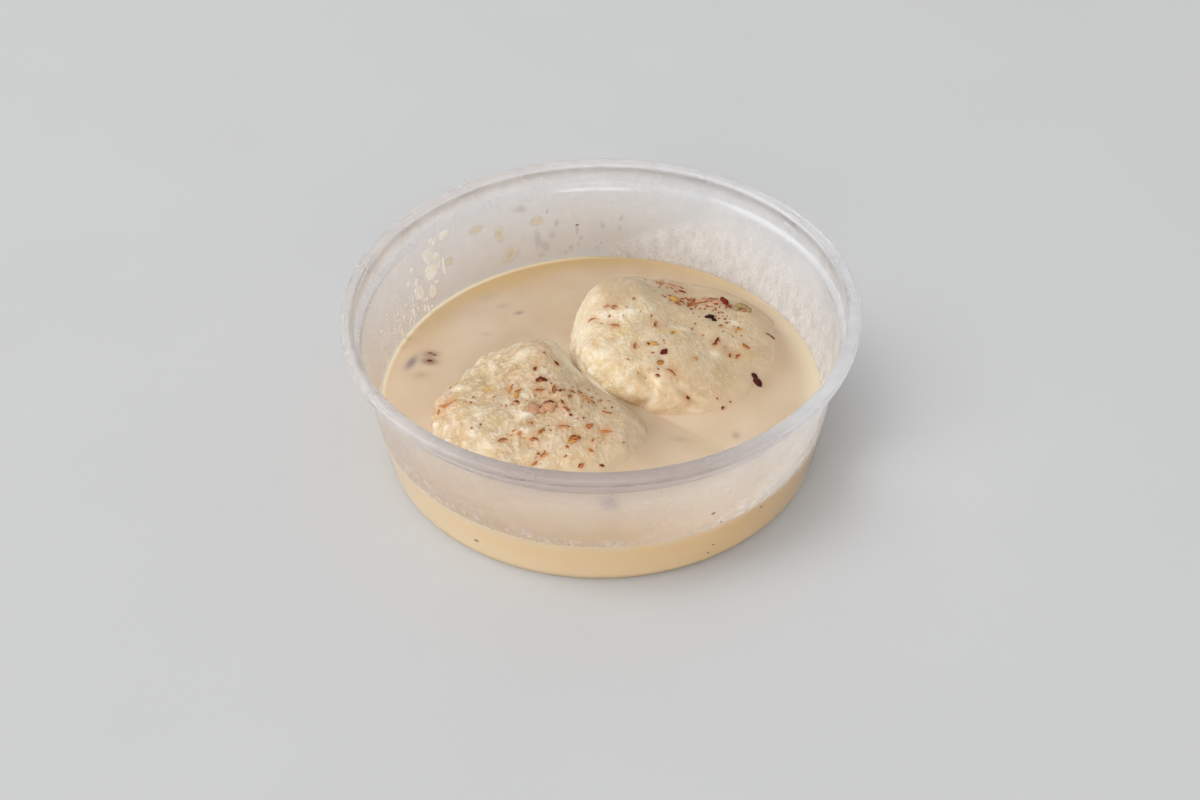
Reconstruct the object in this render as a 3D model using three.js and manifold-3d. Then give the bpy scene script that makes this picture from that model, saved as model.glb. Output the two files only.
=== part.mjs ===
// Rasmalai: two soft curd patties in saffron milk, served in a round clear tub.
// Units are millimetres, +Z is up, and the origin is the centre of the tub's base.
import * as THREE from "three";
import { mergeVertices } from "three/addons/utils/BufferGeometryUtils.js";
import Module from "manifold-3d";

// Tub: a thin moulded cup with a lid band under a rolled rim.
const RIM_RADIUS = 59;
const TUB_HEIGHT = 38;
const WALL = 0.8;
const BASE_RADIUS = 51.1; // of the wall's line, carried down to the base
const WALL_SLOPE = 0.141; // outward run for each millimetre of rise
const BASE_FILLET = 2.2;
const BAND_RADIUS = 56.9; // outside of the upright band that takes the lid
const BAND_FOOT = 31.2; // height where the wall steps out to the band
const STEP_RISE = 1.3;
const SKIRT_DROP = 2.4; // how far the rim's edge hangs down
const RIM_ROUND = 0.5;
const TUB_SEGMENTS = 72;

// Milk: its level, its climb where it wets the wall, and the gap kept to other solids.
const MILK_LEVEL = 12;
const MENISCUS_RISE = 0.7;
const MENISCUS_WIDTH = 2.2;
const GAP = 0.35;

// Patties: pressed discs of curd with a soft uneven skin.
const PATTY_FLOOR = WALL + GAP;
const PATTY_AROUND = 56;
const PATTY_RINGS = 18;
const PATTY_SQUARENESS = 0.72; // exponent that makes the sides steeper than an ellipse
const CONTACT_SOFTNESS = 1.4;

const BACK_PATTY = {
  name: "patty_back",
  seed: 3,
  centre: [18.6, 13.6],
  reach: [26.4, 24.8],
  turn: -0.8, // of the longer reach, from +X
  middle: 11.2, // height of the widest level
  top: 10.5, // rise of the crown above the widest level
  lean: [-0.2, -0.04], // slope of the crown along X and Y
  swells: [
    { at: [-13, 11], spread: 9.5, rise: 2.8 },
    { at: [2, 17], spread: 9, rise: -3.5 },
    { at: [14, 12], spread: 7, rise: 1.0 },
    { at: [-21, 8], spread: 6.5, rise: 4.2 },
  ],
  lobes: [{ azimuth: -2.5, width: 0.45, reach: 2.0 }],
  folds: [
    { azimuth: -1.92, from: 0.08, to: 0.95, width: 0.085, depth: 1.5 },
    { azimuth: -1.52, from: 0.3, to: 0.8, width: 0.07, depth: 0.7 },
  ],
};

const FRONT_PATTY = {
  name: "patty_front",
  seed: 11,
  centre: [-15, -14],
  reach: [25.2, 25.4],
  turn: 0,
  middle: 10.6,
  top: 10.9,
  lean: [0.02, 0.15],
  swells: [
    { at: [3, 18], spread: 8, rise: 3.0 },
    { at: [-14, 14], spread: 8, rise: -1.9 },
    { at: [18, -12], spread: 9, rise: 1.3 },
    { at: [13, 10], spread: 8, rise: -2.4 },
  ],
  lobes: [{ azimuth: -0.4, width: 0.45, reach: 2.2 }],
  contact: { facing: 0.69, distance: 18.6 },
  folds: [
    { azimuth: 2.5, from: 0.25, to: 1.1, width: 0.11, depth: 1.1 },
    { azimuth: -2.6, from: 0.2, to: 0.9, width: 0.1, depth: 0.9 },
  ],
};

// Relief of the curd: wave length and height of each layer of lumps.
const LUMPS = [
  { size: 10, height: 0.75 },
  { size: 4.6, height: 0.5 },
];

// Chopped nuts. A chip is a thin tapered slab that lies half sunk in the curd.
const CHIP_THICKNESS = 0.75;
const CHIP_SINK = 0.3; // share of its thickness below the skin
const CHIP_FLARE = 0.72; // width of the narrow end over the wide end
const SMALL_CHIP = { length: [1.5, 2.7], width: [0.7, 1.2] };

// The chips that stand out, by place over the tub, length, width and turn.
const BACK_CHIPS = [
  { at: [30.8, 24.2], size: [3.4, 1.5], turn: -1.2 },
  { at: [35.0, 22.5], size: [4.6, 2.6], turn: -0.1 },
  { at: [26.5, 16.3], size: [2.1, 1.7], turn: 0.3 },
  { at: [14.8, 1.2], size: [2.1, 1.9], turn: 0.8 },
  { at: [12.6, 3.3], size: [2.6, 1.2], turn: -0.3 },
  { at: [36.3, -2.0], size: [4.0, 1.8], turn: -1.1 },
  { at: [27.9, 7.2], size: [2.4, 1.2], turn: 0.9 },
  { at: [31.1, 3.8], size: [2.4, 1.2], turn: 0.4 },
  { at: [2.4, 15.0], size: [2.6, 0.9], turn: 0.1 },
  { at: [3.4, 9.4], size: [2.8, 0.9], turn: -0.2 },
];
const FRONT_CHIPS = [
  { at: [-13.0, -16.2], size: [6.4, 2.7], turn: 0.2 },
  { at: [-13.8, -8.3], size: [3.0, 1.4], turn: 0.0 },
  { at: [-14.3, -11.3], size: [2.6, 1.0], turn: 0.1 },
  { at: [-10.6, -11.8], size: [2.6, 1.1], turn: 1.4 },
  { at: [-21.0, -10.0], size: [2.4, 1.1], turn: 1.2 },
  { at: [-22.4, -24.4], size: [2.7, 1.0], turn: 0.2 },
  { at: [-6.4, -25.7], size: [3.0, 1.6], turn: 0.4 },
  { at: [-13.0, -29.3], size: [2.8, 1.2], turn: 0.6 },
  { at: [-2.9, -22.6], size: [2.0, 1.3], turn: 0.5 },
  { at: [-8.2, -22.3], size: [2.8, 0.9], turn: -0.1 },
];
// Where the small chips are strewn: middle and spread of each drift, and how many.
const BACK_DRIFTS = [
  { at: [22, 24], spread: [8, 4], count: 8 },
  { at: [25, 4], spread: [9, 8], count: 7 },
];
const FRONT_DRIFTS = [{ at: [-10, -18], spread: [9, 9], count: 12 }];

const wasm = await Module();
wasm.setup();

// A closed three.js geometry as a solid that can be joined and cut.
function solid(geometry) {
  const bare = geometry.index ? geometry.toNonIndexed() : geometry.clone();
  bare.deleteAttribute("normal");
  bare.deleteAttribute("uv");
  const merged = mergeVertices(bare, 1e-4);
  const mesh = new wasm.Mesh({
    numProp: 3,
    vertProperties: merged.attributes.position.array,
    triVerts: new Uint32Array(merged.index.array),
  });
  return new wasm.Manifold(mesh);
}

// The solid back as a three.js geometry with normals.
function geometryOf(body) {
  const mesh = body.getMesh();
  const positions = new Float32Array(mesh.numVert * 3);
  for (let i = 0; i < mesh.numVert; i++) {
    const start = i * mesh.numProp;
    positions.set(mesh.vertProperties.subarray(start, start + 3), i * 3);
  }
  const geometry = new THREE.BufferGeometry();
  geometry.setAttribute("position", new THREE.BufferAttribute(positions, 3));
  geometry.setIndex(new THREE.BufferAttribute(mesh.triVerts, 1));
  geometry.computeVertexNormals();
  return geometry;
}

// The largest body of a solid, so that no scrap cut loose is left.
function largest(body) {
  const bodies = body.decompose();
  return bodies.reduce((a, b) => (b.volume() > a.volume() ? b : a));
}

// Points of a quarter round from one angle to another.
function arc(x, y, radius, from, to, steps) {
  const points = [];
  for (let i = 0; i <= steps; i++) {
    const a = from + ((to - from) * i) / steps;
    points.push([x + radius * Math.cos(a), y + radius * Math.sin(a)]);
  }
  return points;
}

// A closed outline in radius and height, turned about the Z axis.
function turned(outline, segments) {
  const points = outline.map(([r, z]) => new THREE.Vector2(r, z));
  points.push(points[0].clone());
  return new THREE.LatheGeometry(points, segments).rotateX(Math.PI / 2);
}

const wallOutside = (z) => BASE_RADIUS + WALL_SLOPE * z;
const wallInside = (z) => wallOutside(z) - WALL;

function tubOutline() {
  const wallAngle = Math.atan(WALL_SLOPE);
  const filletFoot = wallOutside(BASE_FILLET) - BASE_FILLET;
  const innerFillet = BASE_FILLET - WALL;
  const skirtFoot = TUB_HEIGHT - SKIRT_DROP;
  const rimUnderside = TUB_HEIGHT - WALL;
  const stepTop = BAND_FOOT + STEP_RISE;
  const skirtInside = RIM_RADIUS - WALL;
  const bandInside = BAND_RADIUS - WALL;
  const rimCentre = TUB_HEIGHT - RIM_ROUND;
  return [
    [0, 0],
    ...arc(filletFoot, BASE_FILLET, BASE_FILLET, -Math.PI / 2, -wallAngle, 4),
    [wallOutside(BAND_FOOT), BAND_FOOT],
    [BAND_RADIUS, stepTop],
    [BAND_RADIUS, rimUnderside],
    [skirtInside, rimUnderside],
    [skirtInside, skirtFoot],
    [RIM_RADIUS, skirtFoot],
    ...arc(RIM_RADIUS - RIM_ROUND, rimCentre, RIM_ROUND, 0, Math.PI / 2, 3),
    ...arc(bandInside + RIM_ROUND, rimCentre, RIM_ROUND, Math.PI / 2, Math.PI, 3),
    [bandInside, stepTop],
    [wallInside(BAND_FOOT), BAND_FOOT - WALL / 2],
    ...arc(filletFoot, BASE_FILLET, innerFillet, -wallAngle, -Math.PI / 2, 3),
    [0, WALL],
  ];
}

// The milk's outline: flat in the middle, climbing a little at the wall.
function milkOutline() {
  const floor = WALL + GAP;
  const contact = MILK_LEVEL + MENISCUS_RISE;
  const edge = wallInside(contact) - GAP;
  const corner = BASE_FILLET - WALL;
  const foot = wallInside(floor) - GAP - corner;
  return [
    [0, floor],
    [foot, floor],
    [wallInside(BASE_FILLET) - GAP, BASE_FILLET + GAP],
    [edge, contact],
    [edge - MENISCUS_WIDTH * 0.35, MILK_LEVEL + MENISCUS_RISE * 0.3],
    [edge - MENISCUS_WIDTH, MILK_LEVEL],
    [0, MILK_LEVEL],
  ];
}

// A repeatable number from -1 to 1 for a corner of the noise grid.
function cornerValue(i, j, k, seed) {
  const s = Math.sin(i * 127.1 + j * 311.7 + k * 74.7 + seed * 19.19) * 43758.5453;
  return (s - Math.floor(s)) * 2 - 1;
}

// Smooth noise: corner values blended across each cell.
function noise(x, y, z, seed) {
  const cell = [x, y, z].map(Math.floor);
  const blend = [x - cell[0], y - cell[1], z - cell[2]].map((t) => t * t * (3 - 2 * t));
  let sum = 0;
  for (let corner = 0; corner < 8; corner++) {
    const side = [corner & 1, (corner >> 1) & 1, corner >> 2];
    const weight = side.reduce((w, s, a) => w * (s ? blend[a] : 1 - blend[a]), 1);
    sum += weight * cornerValue(cell[0] + side[0], cell[1] + side[1], cell[2] + side[2], seed);
  }
  return sum;
}

// A repeatable stream of numbers from 0 to 1.
function randomStream(seed) {
  let state = seed;
  return () => {
    state = (state * 16807) % 2147483647;
    return state / 2147483647;
  };
}

// The angle from one bearing to another, from -PI to PI.
function turnFrom(bearing, azimuth) {
  return Math.atan2(Math.sin(azimuth - bearing), Math.cos(azimuth - bearing));
}

// Radius of a patty's plan: an ellipse with lobes, pressed flat where it meets its neighbour.
function planRadius(patty, azimuth) {
  const [a, b] = patty.reach;
  const along = azimuth - patty.turn;
  let radius = (a * b) / Math.hypot(b * Math.cos(along), a * Math.sin(along));
  for (const lobe of patty.lobes) {
    radius += lobe.reach * Math.exp(-((turnFrom(lobe.azimuth, azimuth) / lobe.width) ** 2));
  }
  const facing = patty.contact ? Math.cos(azimuth - patty.contact.facing) : 0;
  if (facing < 0.2) return radius;
  const k = CONTACT_SOFTNESS;
  return -k * Math.log(Math.exp(-radius / k) + Math.exp(-patty.contact.distance / facing / k));
}

// Rise of the crown over a place of the plan, from the patty's centre.
function crownRise(patty, x, y) {
  let rise = patty.top + patty.lean[0] * x + patty.lean[1] * y;
  for (const swell of patty.swells) {
    rise += swell.rise * Math.exp(-((Math.hypot(x - swell.at[0], y - swell.at[1]) / swell.spread) ** 2));
  }
  return rise;
}

// Depth of a patty's folds at one direction.
function foldDepth(patty, azimuth, elevation) {
  let depth = 0;
  for (const fold of patty.folds) {
    const wander = 0.09 * Math.sin(elevation * 9 + fold.azimuth);
    const turn = turnFrom(fold.azimuth + wander, azimuth);
    const middle = (fold.from + fold.to) / 2;
    const along = (elevation - middle) / ((fold.to - fold.from) / 2);
    depth += fold.depth * Math.exp(-((turn / fold.width) ** 2)) * Math.exp(-(along ** 4));
  }
  return depth;
}

// A point of the patty's skin; grow moves it outwards.
function pattyPoint(patty, azimuth, elevation, grow = 0) {
  const flat = Math.max(Math.cos(elevation), 0) ** PATTY_SQUARENESS;
  const lift = Math.sign(elevation) * Math.abs(Math.sin(elevation)) ** PATTY_SQUARENESS;
  const radius = planRadius(patty, azimuth) * flat;
  const [x, y] = [radius * Math.cos(azimuth), radius * Math.sin(azimuth)];
  const drop = patty.middle - PATTY_FLOOR + 1;
  const height = lift > 0 ? lift * crownRise(patty, x, y) : lift * drop;
  const place = [patty.centre[0] + x, patty.centre[1] + y, patty.middle + height];
  let relief = -foldDepth(patty, azimuth, elevation);
  for (const { size, height: bump } of LUMPS) {
    relief += bump * noise(place[0] / size, place[1] / size, place[2] / size, patty.seed);
  }
  const out = new THREE.Vector3(flat * Math.cos(azimuth), flat * Math.sin(azimuth), lift * 1.3);
  out.normalize();
  const point = new THREE.Vector3(...place).addScaledVector(out, relief + grow);
  point.z = Math.max(point.z, PATTY_FLOOR - grow);
  return point;
}

// The whole skin as a closed mesh: two poles and rings between them.
function pattyGeometry(patty, grow = 0) {
  const positions = [];
  const index = [];
  const push = (p) => positions.push(p.x, p.y, p.z);
  push(pattyPoint(patty, 0, -Math.PI / 2, grow));
  for (let ring = 1; ring < PATTY_RINGS; ring++) {
    const elevation = -Math.PI / 2 + (Math.PI * ring) / PATTY_RINGS;
    for (let i = 0; i < PATTY_AROUND; i++) {
      push(pattyPoint(patty, (2 * Math.PI * i) / PATTY_AROUND, elevation, grow));
    }
  }
  push(pattyPoint(patty, 0, Math.PI / 2, grow));
  const last = positions.length / 3 - 1;
  const at = (ring, i) => 1 + (ring - 1) * PATTY_AROUND + (i % PATTY_AROUND);
  for (let i = 0; i < PATTY_AROUND; i++) {
    index.push(0, at(1, i + 1), at(1, i));
    index.push(last, at(PATTY_RINGS - 1, i), at(PATTY_RINGS - 1, i + 1));
    for (let ring = 1; ring < PATTY_RINGS - 1; ring++) {
      index.push(at(ring, i), at(ring, i + 1), at(ring + 1, i + 1));
      index.push(at(ring, i), at(ring + 1, i + 1), at(ring + 1, i));
    }
  }
  const geometry = new THREE.BufferGeometry();
  geometry.setAttribute("position", new THREE.Float32BufferAttribute(positions, 3));
  geometry.setIndex(index);
  return geometry;
}

// The skin's point and outward direction over a place on the plan.
function skinAt(patty, x, y) {
  const azimuth = Math.atan2(y - patty.centre[1], x - patty.centre[0]);
  const share = Math.hypot(x - patty.centre[0], y - patty.centre[1]) / planRadius(patty, azimuth);
  const elevation = Math.acos(Math.min(share, 0.97) ** (1 / PATTY_SQUARENESS));
  const point = pattyPoint(patty, azimuth, elevation);
  const step = 0.03;
  const along = pattyPoint(patty, azimuth + step, elevation).sub(pattyPoint(patty, azimuth - step, elevation));
  const up = pattyPoint(patty, azimuth, elevation + step).sub(pattyPoint(patty, azimuth, elevation - step));
  const normal = along.cross(up).normalize();
  return { point, normal };
}

// A thin tapered slab laid on the skin.
function chip(patty, { at, size, turn }) {
  const { point, normal } = skinAt(patty, ...at);
  const slab = new THREE.BoxGeometry(size[0], size[1], CHIP_THICKNESS);
  const corners = slab.attributes.position;
  for (let i = 0; i < corners.count; i++) {
    const along = corners.getX(i) / size[0] + 0.5;
    const narrow = 1 + (CHIP_FLARE - 1) * along;
    corners.setY(i, corners.getY(i) * narrow);
  }
  slab.rotateZ(turn);
  slab.applyQuaternion(new THREE.Quaternion().setFromUnitVectors(new THREE.Vector3(0, 0, 1), normal));
  const raised = point.addScaledVector(normal, CHIP_THICKNESS * (0.5 - CHIP_SINK));
  return slab.translate(raised.x, raised.y, raised.z);
}

// Small chips strewn round the middle of each drift.
function strewn(patty, drifts) {
  const random = randomStream(patty.seed * 7919);
  const between = ([low, high]) => low + (high - low) * random();
  const chips = [];
  for (const { at, spread, count } of drifts) {
    for (let i = 0; i < count; i++) {
      const away = Math.sqrt(random());
      const bearing = 2 * Math.PI * random();
      chips.push({
        at: [at[0] + spread[0] * away * Math.cos(bearing), at[1] + spread[1] * away * Math.sin(bearing)],
        size: [between(SMALL_CHIP.length), between(SMALL_CHIP.width)],
        turn: Math.PI * random(),
      });
    }
  }
  return chips;
}

// A patty with its chips fused on.
function pattyBody(patty, chips, drifts) {
  let body = solid(pattyGeometry(patty));
  for (const one of [...chips, ...strewn(patty, drifts)]) {
    body = body.add(solid(chip(patty, one)));
  }
  return largest(body);
}

function mesh(name, geometry, material) {
  const made = new THREE.Mesh(geometry, new THREE.MeshStandardMaterial(material));
  made.name = name;
  return made;
}

function tub() {
  const look = { color: 0xdfe2e4, roughness: 0.25, metalness: 0, transparent: true, opacity: 0.4 };
  return mesh("tub", turned(tubOutline(), TUB_SEGMENTS), look);
}

function milk() {
  let body = solid(turned(milkOutline(), TUB_SEGMENTS));
  for (const patty of [BACK_PATTY, FRONT_PATTY]) {
    body = body.subtract(solid(pattyGeometry(patty, GAP)));
  }
  return mesh("milk", geometryOf(largest(body)), { color: 0xe2c9a3, roughness: 0.3, metalness: 0 });
}

function backPatty() {
  const body = pattyBody(BACK_PATTY, BACK_CHIPS, BACK_DRIFTS);
  return mesh(BACK_PATTY.name, geometryOf(body), { color: 0xf1dfb8, roughness: 0.5, metalness: 0 });
}

function frontPatty() {
  const whole = pattyBody(FRONT_PATTY, FRONT_CHIPS, FRONT_DRIFTS);
  const body = largest(whole.subtract(solid(pattyGeometry(BACK_PATTY, GAP))));
  return mesh(FRONT_PATTY.name, geometryOf(body), { color: 0xe9d4aa, roughness: 0.5, metalness: 0 });
}

const rasmalai = new THREE.Group();
rasmalai.add(tub(), milk(), backPatty(), frontPatty());

export default rasmalai;
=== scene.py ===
import math

import bpy
import numpy as np
from mathutils import Matrix, Vector
from mathutils.bvhtree import BVHTree


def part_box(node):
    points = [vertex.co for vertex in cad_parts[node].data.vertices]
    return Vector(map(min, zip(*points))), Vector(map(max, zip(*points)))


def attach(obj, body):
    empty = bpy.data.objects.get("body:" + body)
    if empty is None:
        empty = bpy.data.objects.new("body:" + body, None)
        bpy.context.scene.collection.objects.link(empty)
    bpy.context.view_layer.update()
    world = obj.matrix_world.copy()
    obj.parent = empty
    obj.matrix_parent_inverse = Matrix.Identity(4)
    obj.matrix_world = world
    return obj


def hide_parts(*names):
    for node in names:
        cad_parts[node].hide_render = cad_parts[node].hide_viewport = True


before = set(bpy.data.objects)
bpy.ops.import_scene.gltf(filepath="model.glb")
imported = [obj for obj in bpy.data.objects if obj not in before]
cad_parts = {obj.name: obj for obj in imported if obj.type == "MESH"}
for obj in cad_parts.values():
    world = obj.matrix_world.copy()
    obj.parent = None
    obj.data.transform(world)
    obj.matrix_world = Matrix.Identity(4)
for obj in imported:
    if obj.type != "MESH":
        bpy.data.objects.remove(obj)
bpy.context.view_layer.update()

MM = 0.001
TAU = 2 * math.pi
UP = Vector((0, 0, 1))

# Tub
RIM_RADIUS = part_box("tub")[1].x / MM
TUB_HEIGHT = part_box("tub")[1].z / MM
WALL = 0.8
BASE_RADIUS = 51.1
WALL_SLOPE = 0.141
BASE_FILLET = 2.2
BAND_RADIUS = 56.9
BAND_FOOT = 31.2
STEP_RISE = 1.3
SKIRT_DROP = 2.4
RIM_ROUND = 0.38
STEP_ROUND = 0.55
STEP_EDGE = 0.35
SKIRT_ROUND = 0.4
TUB_SEGMENTS = 320
WALL_ANGLE = math.atan(WALL_SLOPE)
FILLET_FOOT = BASE_RADIUS + WALL_SLOPE * BASE_FILLET - BASE_FILLET

# Milk
MILK_LEVEL = 12.0
WALL_MENISCUS = {"rise": 0.35, "width": 0.9}
# Milk clings to a patty: a low lip all round, and a broad slope on the side it washes over.
PATTY_MENISCUS = {"rise": 0.45, "width": 1.4, "climb": 2.8}
# Milk that fills the crease between the patties: its highest point, bearing, length, width and rise.
CREASE = {"at": (-2.4, -1.9), "bearing": 2.3, "length": 9.5, "width": 2.9, "rise": 5.3}
# The milk reaches a little into the wall, so that no air shows between them.
INTO_WALL = 0.14
# The milk's mesh: points round a ring, rings inside, width and rings of its edge, rings down its side.
MILK_AROUND = 420
MILK_RINGS = 84
EDGE_WIDTH = 6.0
EDGE_RINGS = 25
SIDE_RINGS = 24
# The skin of a patty at the milk's level, as azimuth steps and as an elevation.
WATERLINE_STEPS = 721
WATERLINE_ELEVATION = 0.03

# Patties
PATTY_FLOOR = 1.15
PATTY_SQUARENESS = 0.72
PATTY_AROUND = 440
RINGS_ABOVE = 150
RINGS_BELOW = 22
CONTACT_SOFTNESS = 1.4

# A patty, in millimetres and radians. Swells: x, y, spread and rise. Lobe: azimuth, width and reach.
# Folds: azimuth, elevation from and to, width and depth. Spots of colour, by tone: x, y, half length,
# half width, turn and strength. Wash: the side that milk climbs, and how far. Film: the side and the
# height up to which milk covers the curd, from where to where along x it thickens, and its share.
BACK_PATTY = {
    "name": "patty_back",
    "seed": 3,
    "centre": (18.6, 13.6),
    "reach": (26.4, 24.8),
    "turn": -0.8,
    "middle": 11.2,
    "top": 10.5,
    "lean": (-0.2, -0.04),
    "swells": [(-13, 11, 9.5, 2.8), (2, 17, 9, -3.5), (14, 12, 7, 1.0), (-21, 8, 6.5, 4.2)],
    "lobe": (-2.5, 0.45, 2.0),
    "contact": None,
    "folds": [(-1.92, 0.08, 0.95, 0.085, 1.5), (-1.52, 0.3, 0.8, 0.07, 0.7)],
    "grain": 1.2,
    "ridges": 0.7,
    "chunk": 0.35,
    "wash": {"facing": -0.7, "rise": 1.9, "width": 4.2, "shore": 1.6},
    "film": {
        "facing": -1.1, "least": 1.1, "reach": 8.2, "from": 4.0, "to": 15.0, "share": 0.75, "back": 0.85,
    },
    "spots": {
        "blush": [
            (24.5, 23.6, 7.0, 3.2, -0.05, 0.85), (16.8, 31.6, 4.5, 2.2, 0.0, 0.6),
            (2.0, 15.0, 4.0, 1.3, 0.1, 0.25), (9.5, 8.5, 5.0, 3.0, 0.3, 0.2),
        ],
        "mauve": [
            (36.0, -0.8, 2.6, 1.7, -0.9, 0.6), (17.6, 33.4, 2.4, 0.8, -0.4, 0.5),
        ],
        "amber": [
            (18.0, 8.5, 3.4, 1.2, 0.1, 0.75), (16.4, 8.0, 1.1, 1.2, 0.0, 0.5),
            (-1.4, 5.2, 1.3, 2.4, 0.0, 0.75), (8.0, 2.6, 0.8, 1.8, 0.0, 0.35),
            (4.5, 8.0, 2.5, 1.5, 0.3, 0.3), (33.0, 12.2, 3.6, 1.8, 0.0, 0.35),
            (9.0, -6.5, 1.2, 2.8, -0.4, 0.4),
        ],
        # Whiter curd; the spot at (-5.0, 12.0) is painted light along the patty's left edge.
        "whiter_and_painted_light": [
            (32.4, 15.4, 2.0, 2.0, 0.0, 0.8), (26.8, 3.0, 1.8, 1.2, 0.0, 0.6),
            (12.4, -7.6, 1.4, 3.0, -0.7, 0.6), (19.6, 9.9, 3.0, 0.9, 0.2, 0.5),
            (10.5, 31.0, 4.5, 2.0, -0.2, 0.5), (-5.0, 12.0, 3.5, 8.0, 0.1, 0.6),
        ],
    },
}
FRONT_PATTY = {
    "name": "patty_front",
    "seed": 11,
    "centre": (-15, -14),
    "reach": (25.2, 25.4),
    "turn": 0,
    "middle": 10.6,
    "top": 10.9,
    "lean": (0.02, 0.15),
    "swells": [(3, 18, 8, 3.0), (-14, 14, 8, -1.9), (18, -12, 9, 1.3), (13, 10, 8, -2.4)],
    "lobe": (-0.4, 0.45, 2.2),
    "contact": {"facing": 0.69, "distance": 18.6},
    "folds": [(2.5, 0.25, 1.1, 0.11, 1.1), (-2.6, 0.2, 0.9, 0.1, 0.9)],
    "grain": 1.05,
    "ridges": 0.0,
    "chunk": 0.57,
    "wash": {"facing": -0.2, "rise": 2.9, "width": 4.8, "shore": 2.8},
    "film": {
        "facing": -0.6, "least": 1.2, "reach": 4.6, "from": -26.0, "to": 4.0, "share": 0.62, "back": 0.0,
    },
    "spots": {
        "blush": [
            (-12.8, -16.4, 5.0, 2.8, 0.05, 0.7), (-14.0, -11.0, 4.0, 2.0, 0.0, 0.25),
            (1.0, -23.4, 3.0, 1.6, 0.0, 0.35), (-20.7, -5.0, 1.3, 3.6, 0.3, 0.4),
        ],
        "mauve": [],
        "amber": [
            (-26.4, -9.6, 1.8, 1.4, 0.0, 0.75), (-8.5, 0.5, 3.4, 3.0, 0.3, 0.35),
            (-2.6, -13.2, 4.0, 1.2, -0.1, 0.45), (-3.5, -31.0, 4.5, 2.0, 0.0, 0.4),
        ],
        # Whiter curd; the spot at (-6.0, 1.2) is painted light on the shaded right side of the crown.
        "whiter_and_painted_light": [
            (-33.0, -7.5, 2.0, 1.4, 0.3, 0.7), (-26.0, -26.0, 2.2, 1.6, 0.0, 0.6),
            (-21.5, -15.5, 1.2, 2.6, 0.4, 0.45), (-19.0, -1.0, 4.0, 1.6, 0.3, 0.4),
            (-6.0, 1.2, 4.4, 5.6, 0.7, 1.0),
        ],
    },
}
# Broad lumps of the skin: size and height.
LUMPS = ((10, 0.75), (4.6, 0.5))
# Fine relief of the curd, packed grains and smooth ripples: size, height, and the seed's step.
GRAINS = ((3.0, 0.26, 3), (1.5, 0.12, 5))
RIPPLES = ((2.6, 0.24, 7), (1.1, 0.13, 8))


# Noise

def corner_value(corner, seed):
    """A repeatable number from -1 to 1 for each corner of the noise grid."""
    s = np.sin(corner @ np.array([127.1, 311.7, 74.7]) + seed * 19.19) * 43758.5453
    return (s - np.floor(s)) * 2 - 1


def noise(points, seed):
    """Smooth noise from -1 to 1: corner values blended across each cell."""
    cell = np.floor(points)
    blend = points - cell
    blend = blend * blend * (3 - 2 * blend)
    total = np.zeros(len(points))
    for corner in range(8):
        side = np.array([corner & 1, (corner >> 1) & 1, corner >> 2])
        weight = np.prod(np.where(side == 1, blend, 1 - blend), axis=1)
        total += weight * corner_value(cell + side, seed)
    return total


def pebbles(points, seed):
    """Rounded lumps packed side by side, from 0 in the gaps to 1 on their tops."""
    cell = np.floor(points)
    near = np.full(len(points), 9.0)
    second = np.full(len(points), 9.0)
    for step in np.ndindex(3, 3, 3):
        corner = cell + np.array(step) - 1
        jitter = [corner_value(corner, seed + axis) for axis in (0.0, 7.3, 13.9)]
        middle = corner + 0.5 + 0.42 * np.stack(jitter, axis=1)
        away = np.linalg.norm(points - middle, axis=1)
        second = np.minimum(second, np.maximum(near, away))
        near = np.minimum(near, away)
    return smooth_step(0.0, 0.55, second - near)


def smooth_step(low, high, value):
    """A smooth step from 0 at low to 1 at high."""
    share = np.clip((value - low) / (high - low), 0, 1)
    return share * share * (3 - 2 * share)


def bell(value, width):
    """One at 0, falling off smoothly to both sides over a width."""
    return np.exp(-((value / width) ** 2))


def plan_noise(x, y, size, seed):
    """Noise over the plan, with features of a size in millimetres."""
    return noise(np.stack([x / size, y / size, x * 0], axis=1), seed)


# Skin of a patty

def turn_from(bearing, azimuth):
    """How far an azimuth is turned from a bearing, from -pi to pi."""
    return np.arctan2(np.sin(azimuth - bearing), np.cos(azimuth - bearing))


def towards(azimuth, bearing, power=1.0):
    """One where an azimuth faces a bearing, down to 0 at its sides and behind it."""
    return np.maximum(np.cos(azimuth - bearing), 0) ** power


def turned(x, y, at, turn):
    """Places as seen from one place: how far along a turn, and how far across it."""
    dx, dy = x - at[0], y - at[1]
    c, s = math.cos(turn), math.sin(turn)
    return c * dx + s * dy, c * dy - s * dx


def from_centre(patty, x, y):
    """Azimuth and distance of places on the plan, from a patty's centre."""
    dx, dy = x - patty["centre"][0], y - patty["centre"][1]
    return np.arctan2(dy, dx), np.hypot(dx, dy)


def plan_radius(patty, azimuth):
    """Radius of the plan: an ellipse with a lobe, pressed flat where it meets its neighbour."""
    a, b = patty["reach"]
    along = azimuth - patty["turn"]
    radius = a * b / np.hypot(b * np.cos(along), a * np.sin(along))
    bearing, width, swell = patty["lobe"]
    radius = radius + swell * bell(turn_from(bearing, azimuth), width)
    if patty["contact"] is None:
        return radius
    facing = np.cos(azimuth - patty["contact"]["facing"])
    flat = patty["contact"]["distance"] / np.maximum(facing, 0.2)
    k = CONTACT_SOFTNESS
    pressed = -k * np.log(np.exp(-radius / k) + np.exp(-flat / k))
    return np.where(facing < 0.2, radius, pressed)


def crown_rise(patty, x, y):
    """Height of the crown above its middle: leaning, with broad swells and hollows."""
    rise = patty["top"] + patty["lean"][0] * x + patty["lean"][1] * y
    for at_x, at_y, spread, swell in patty["swells"]:
        rise = rise + swell * bell(np.hypot(x - at_x, y - at_y), spread)
    return rise


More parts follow.
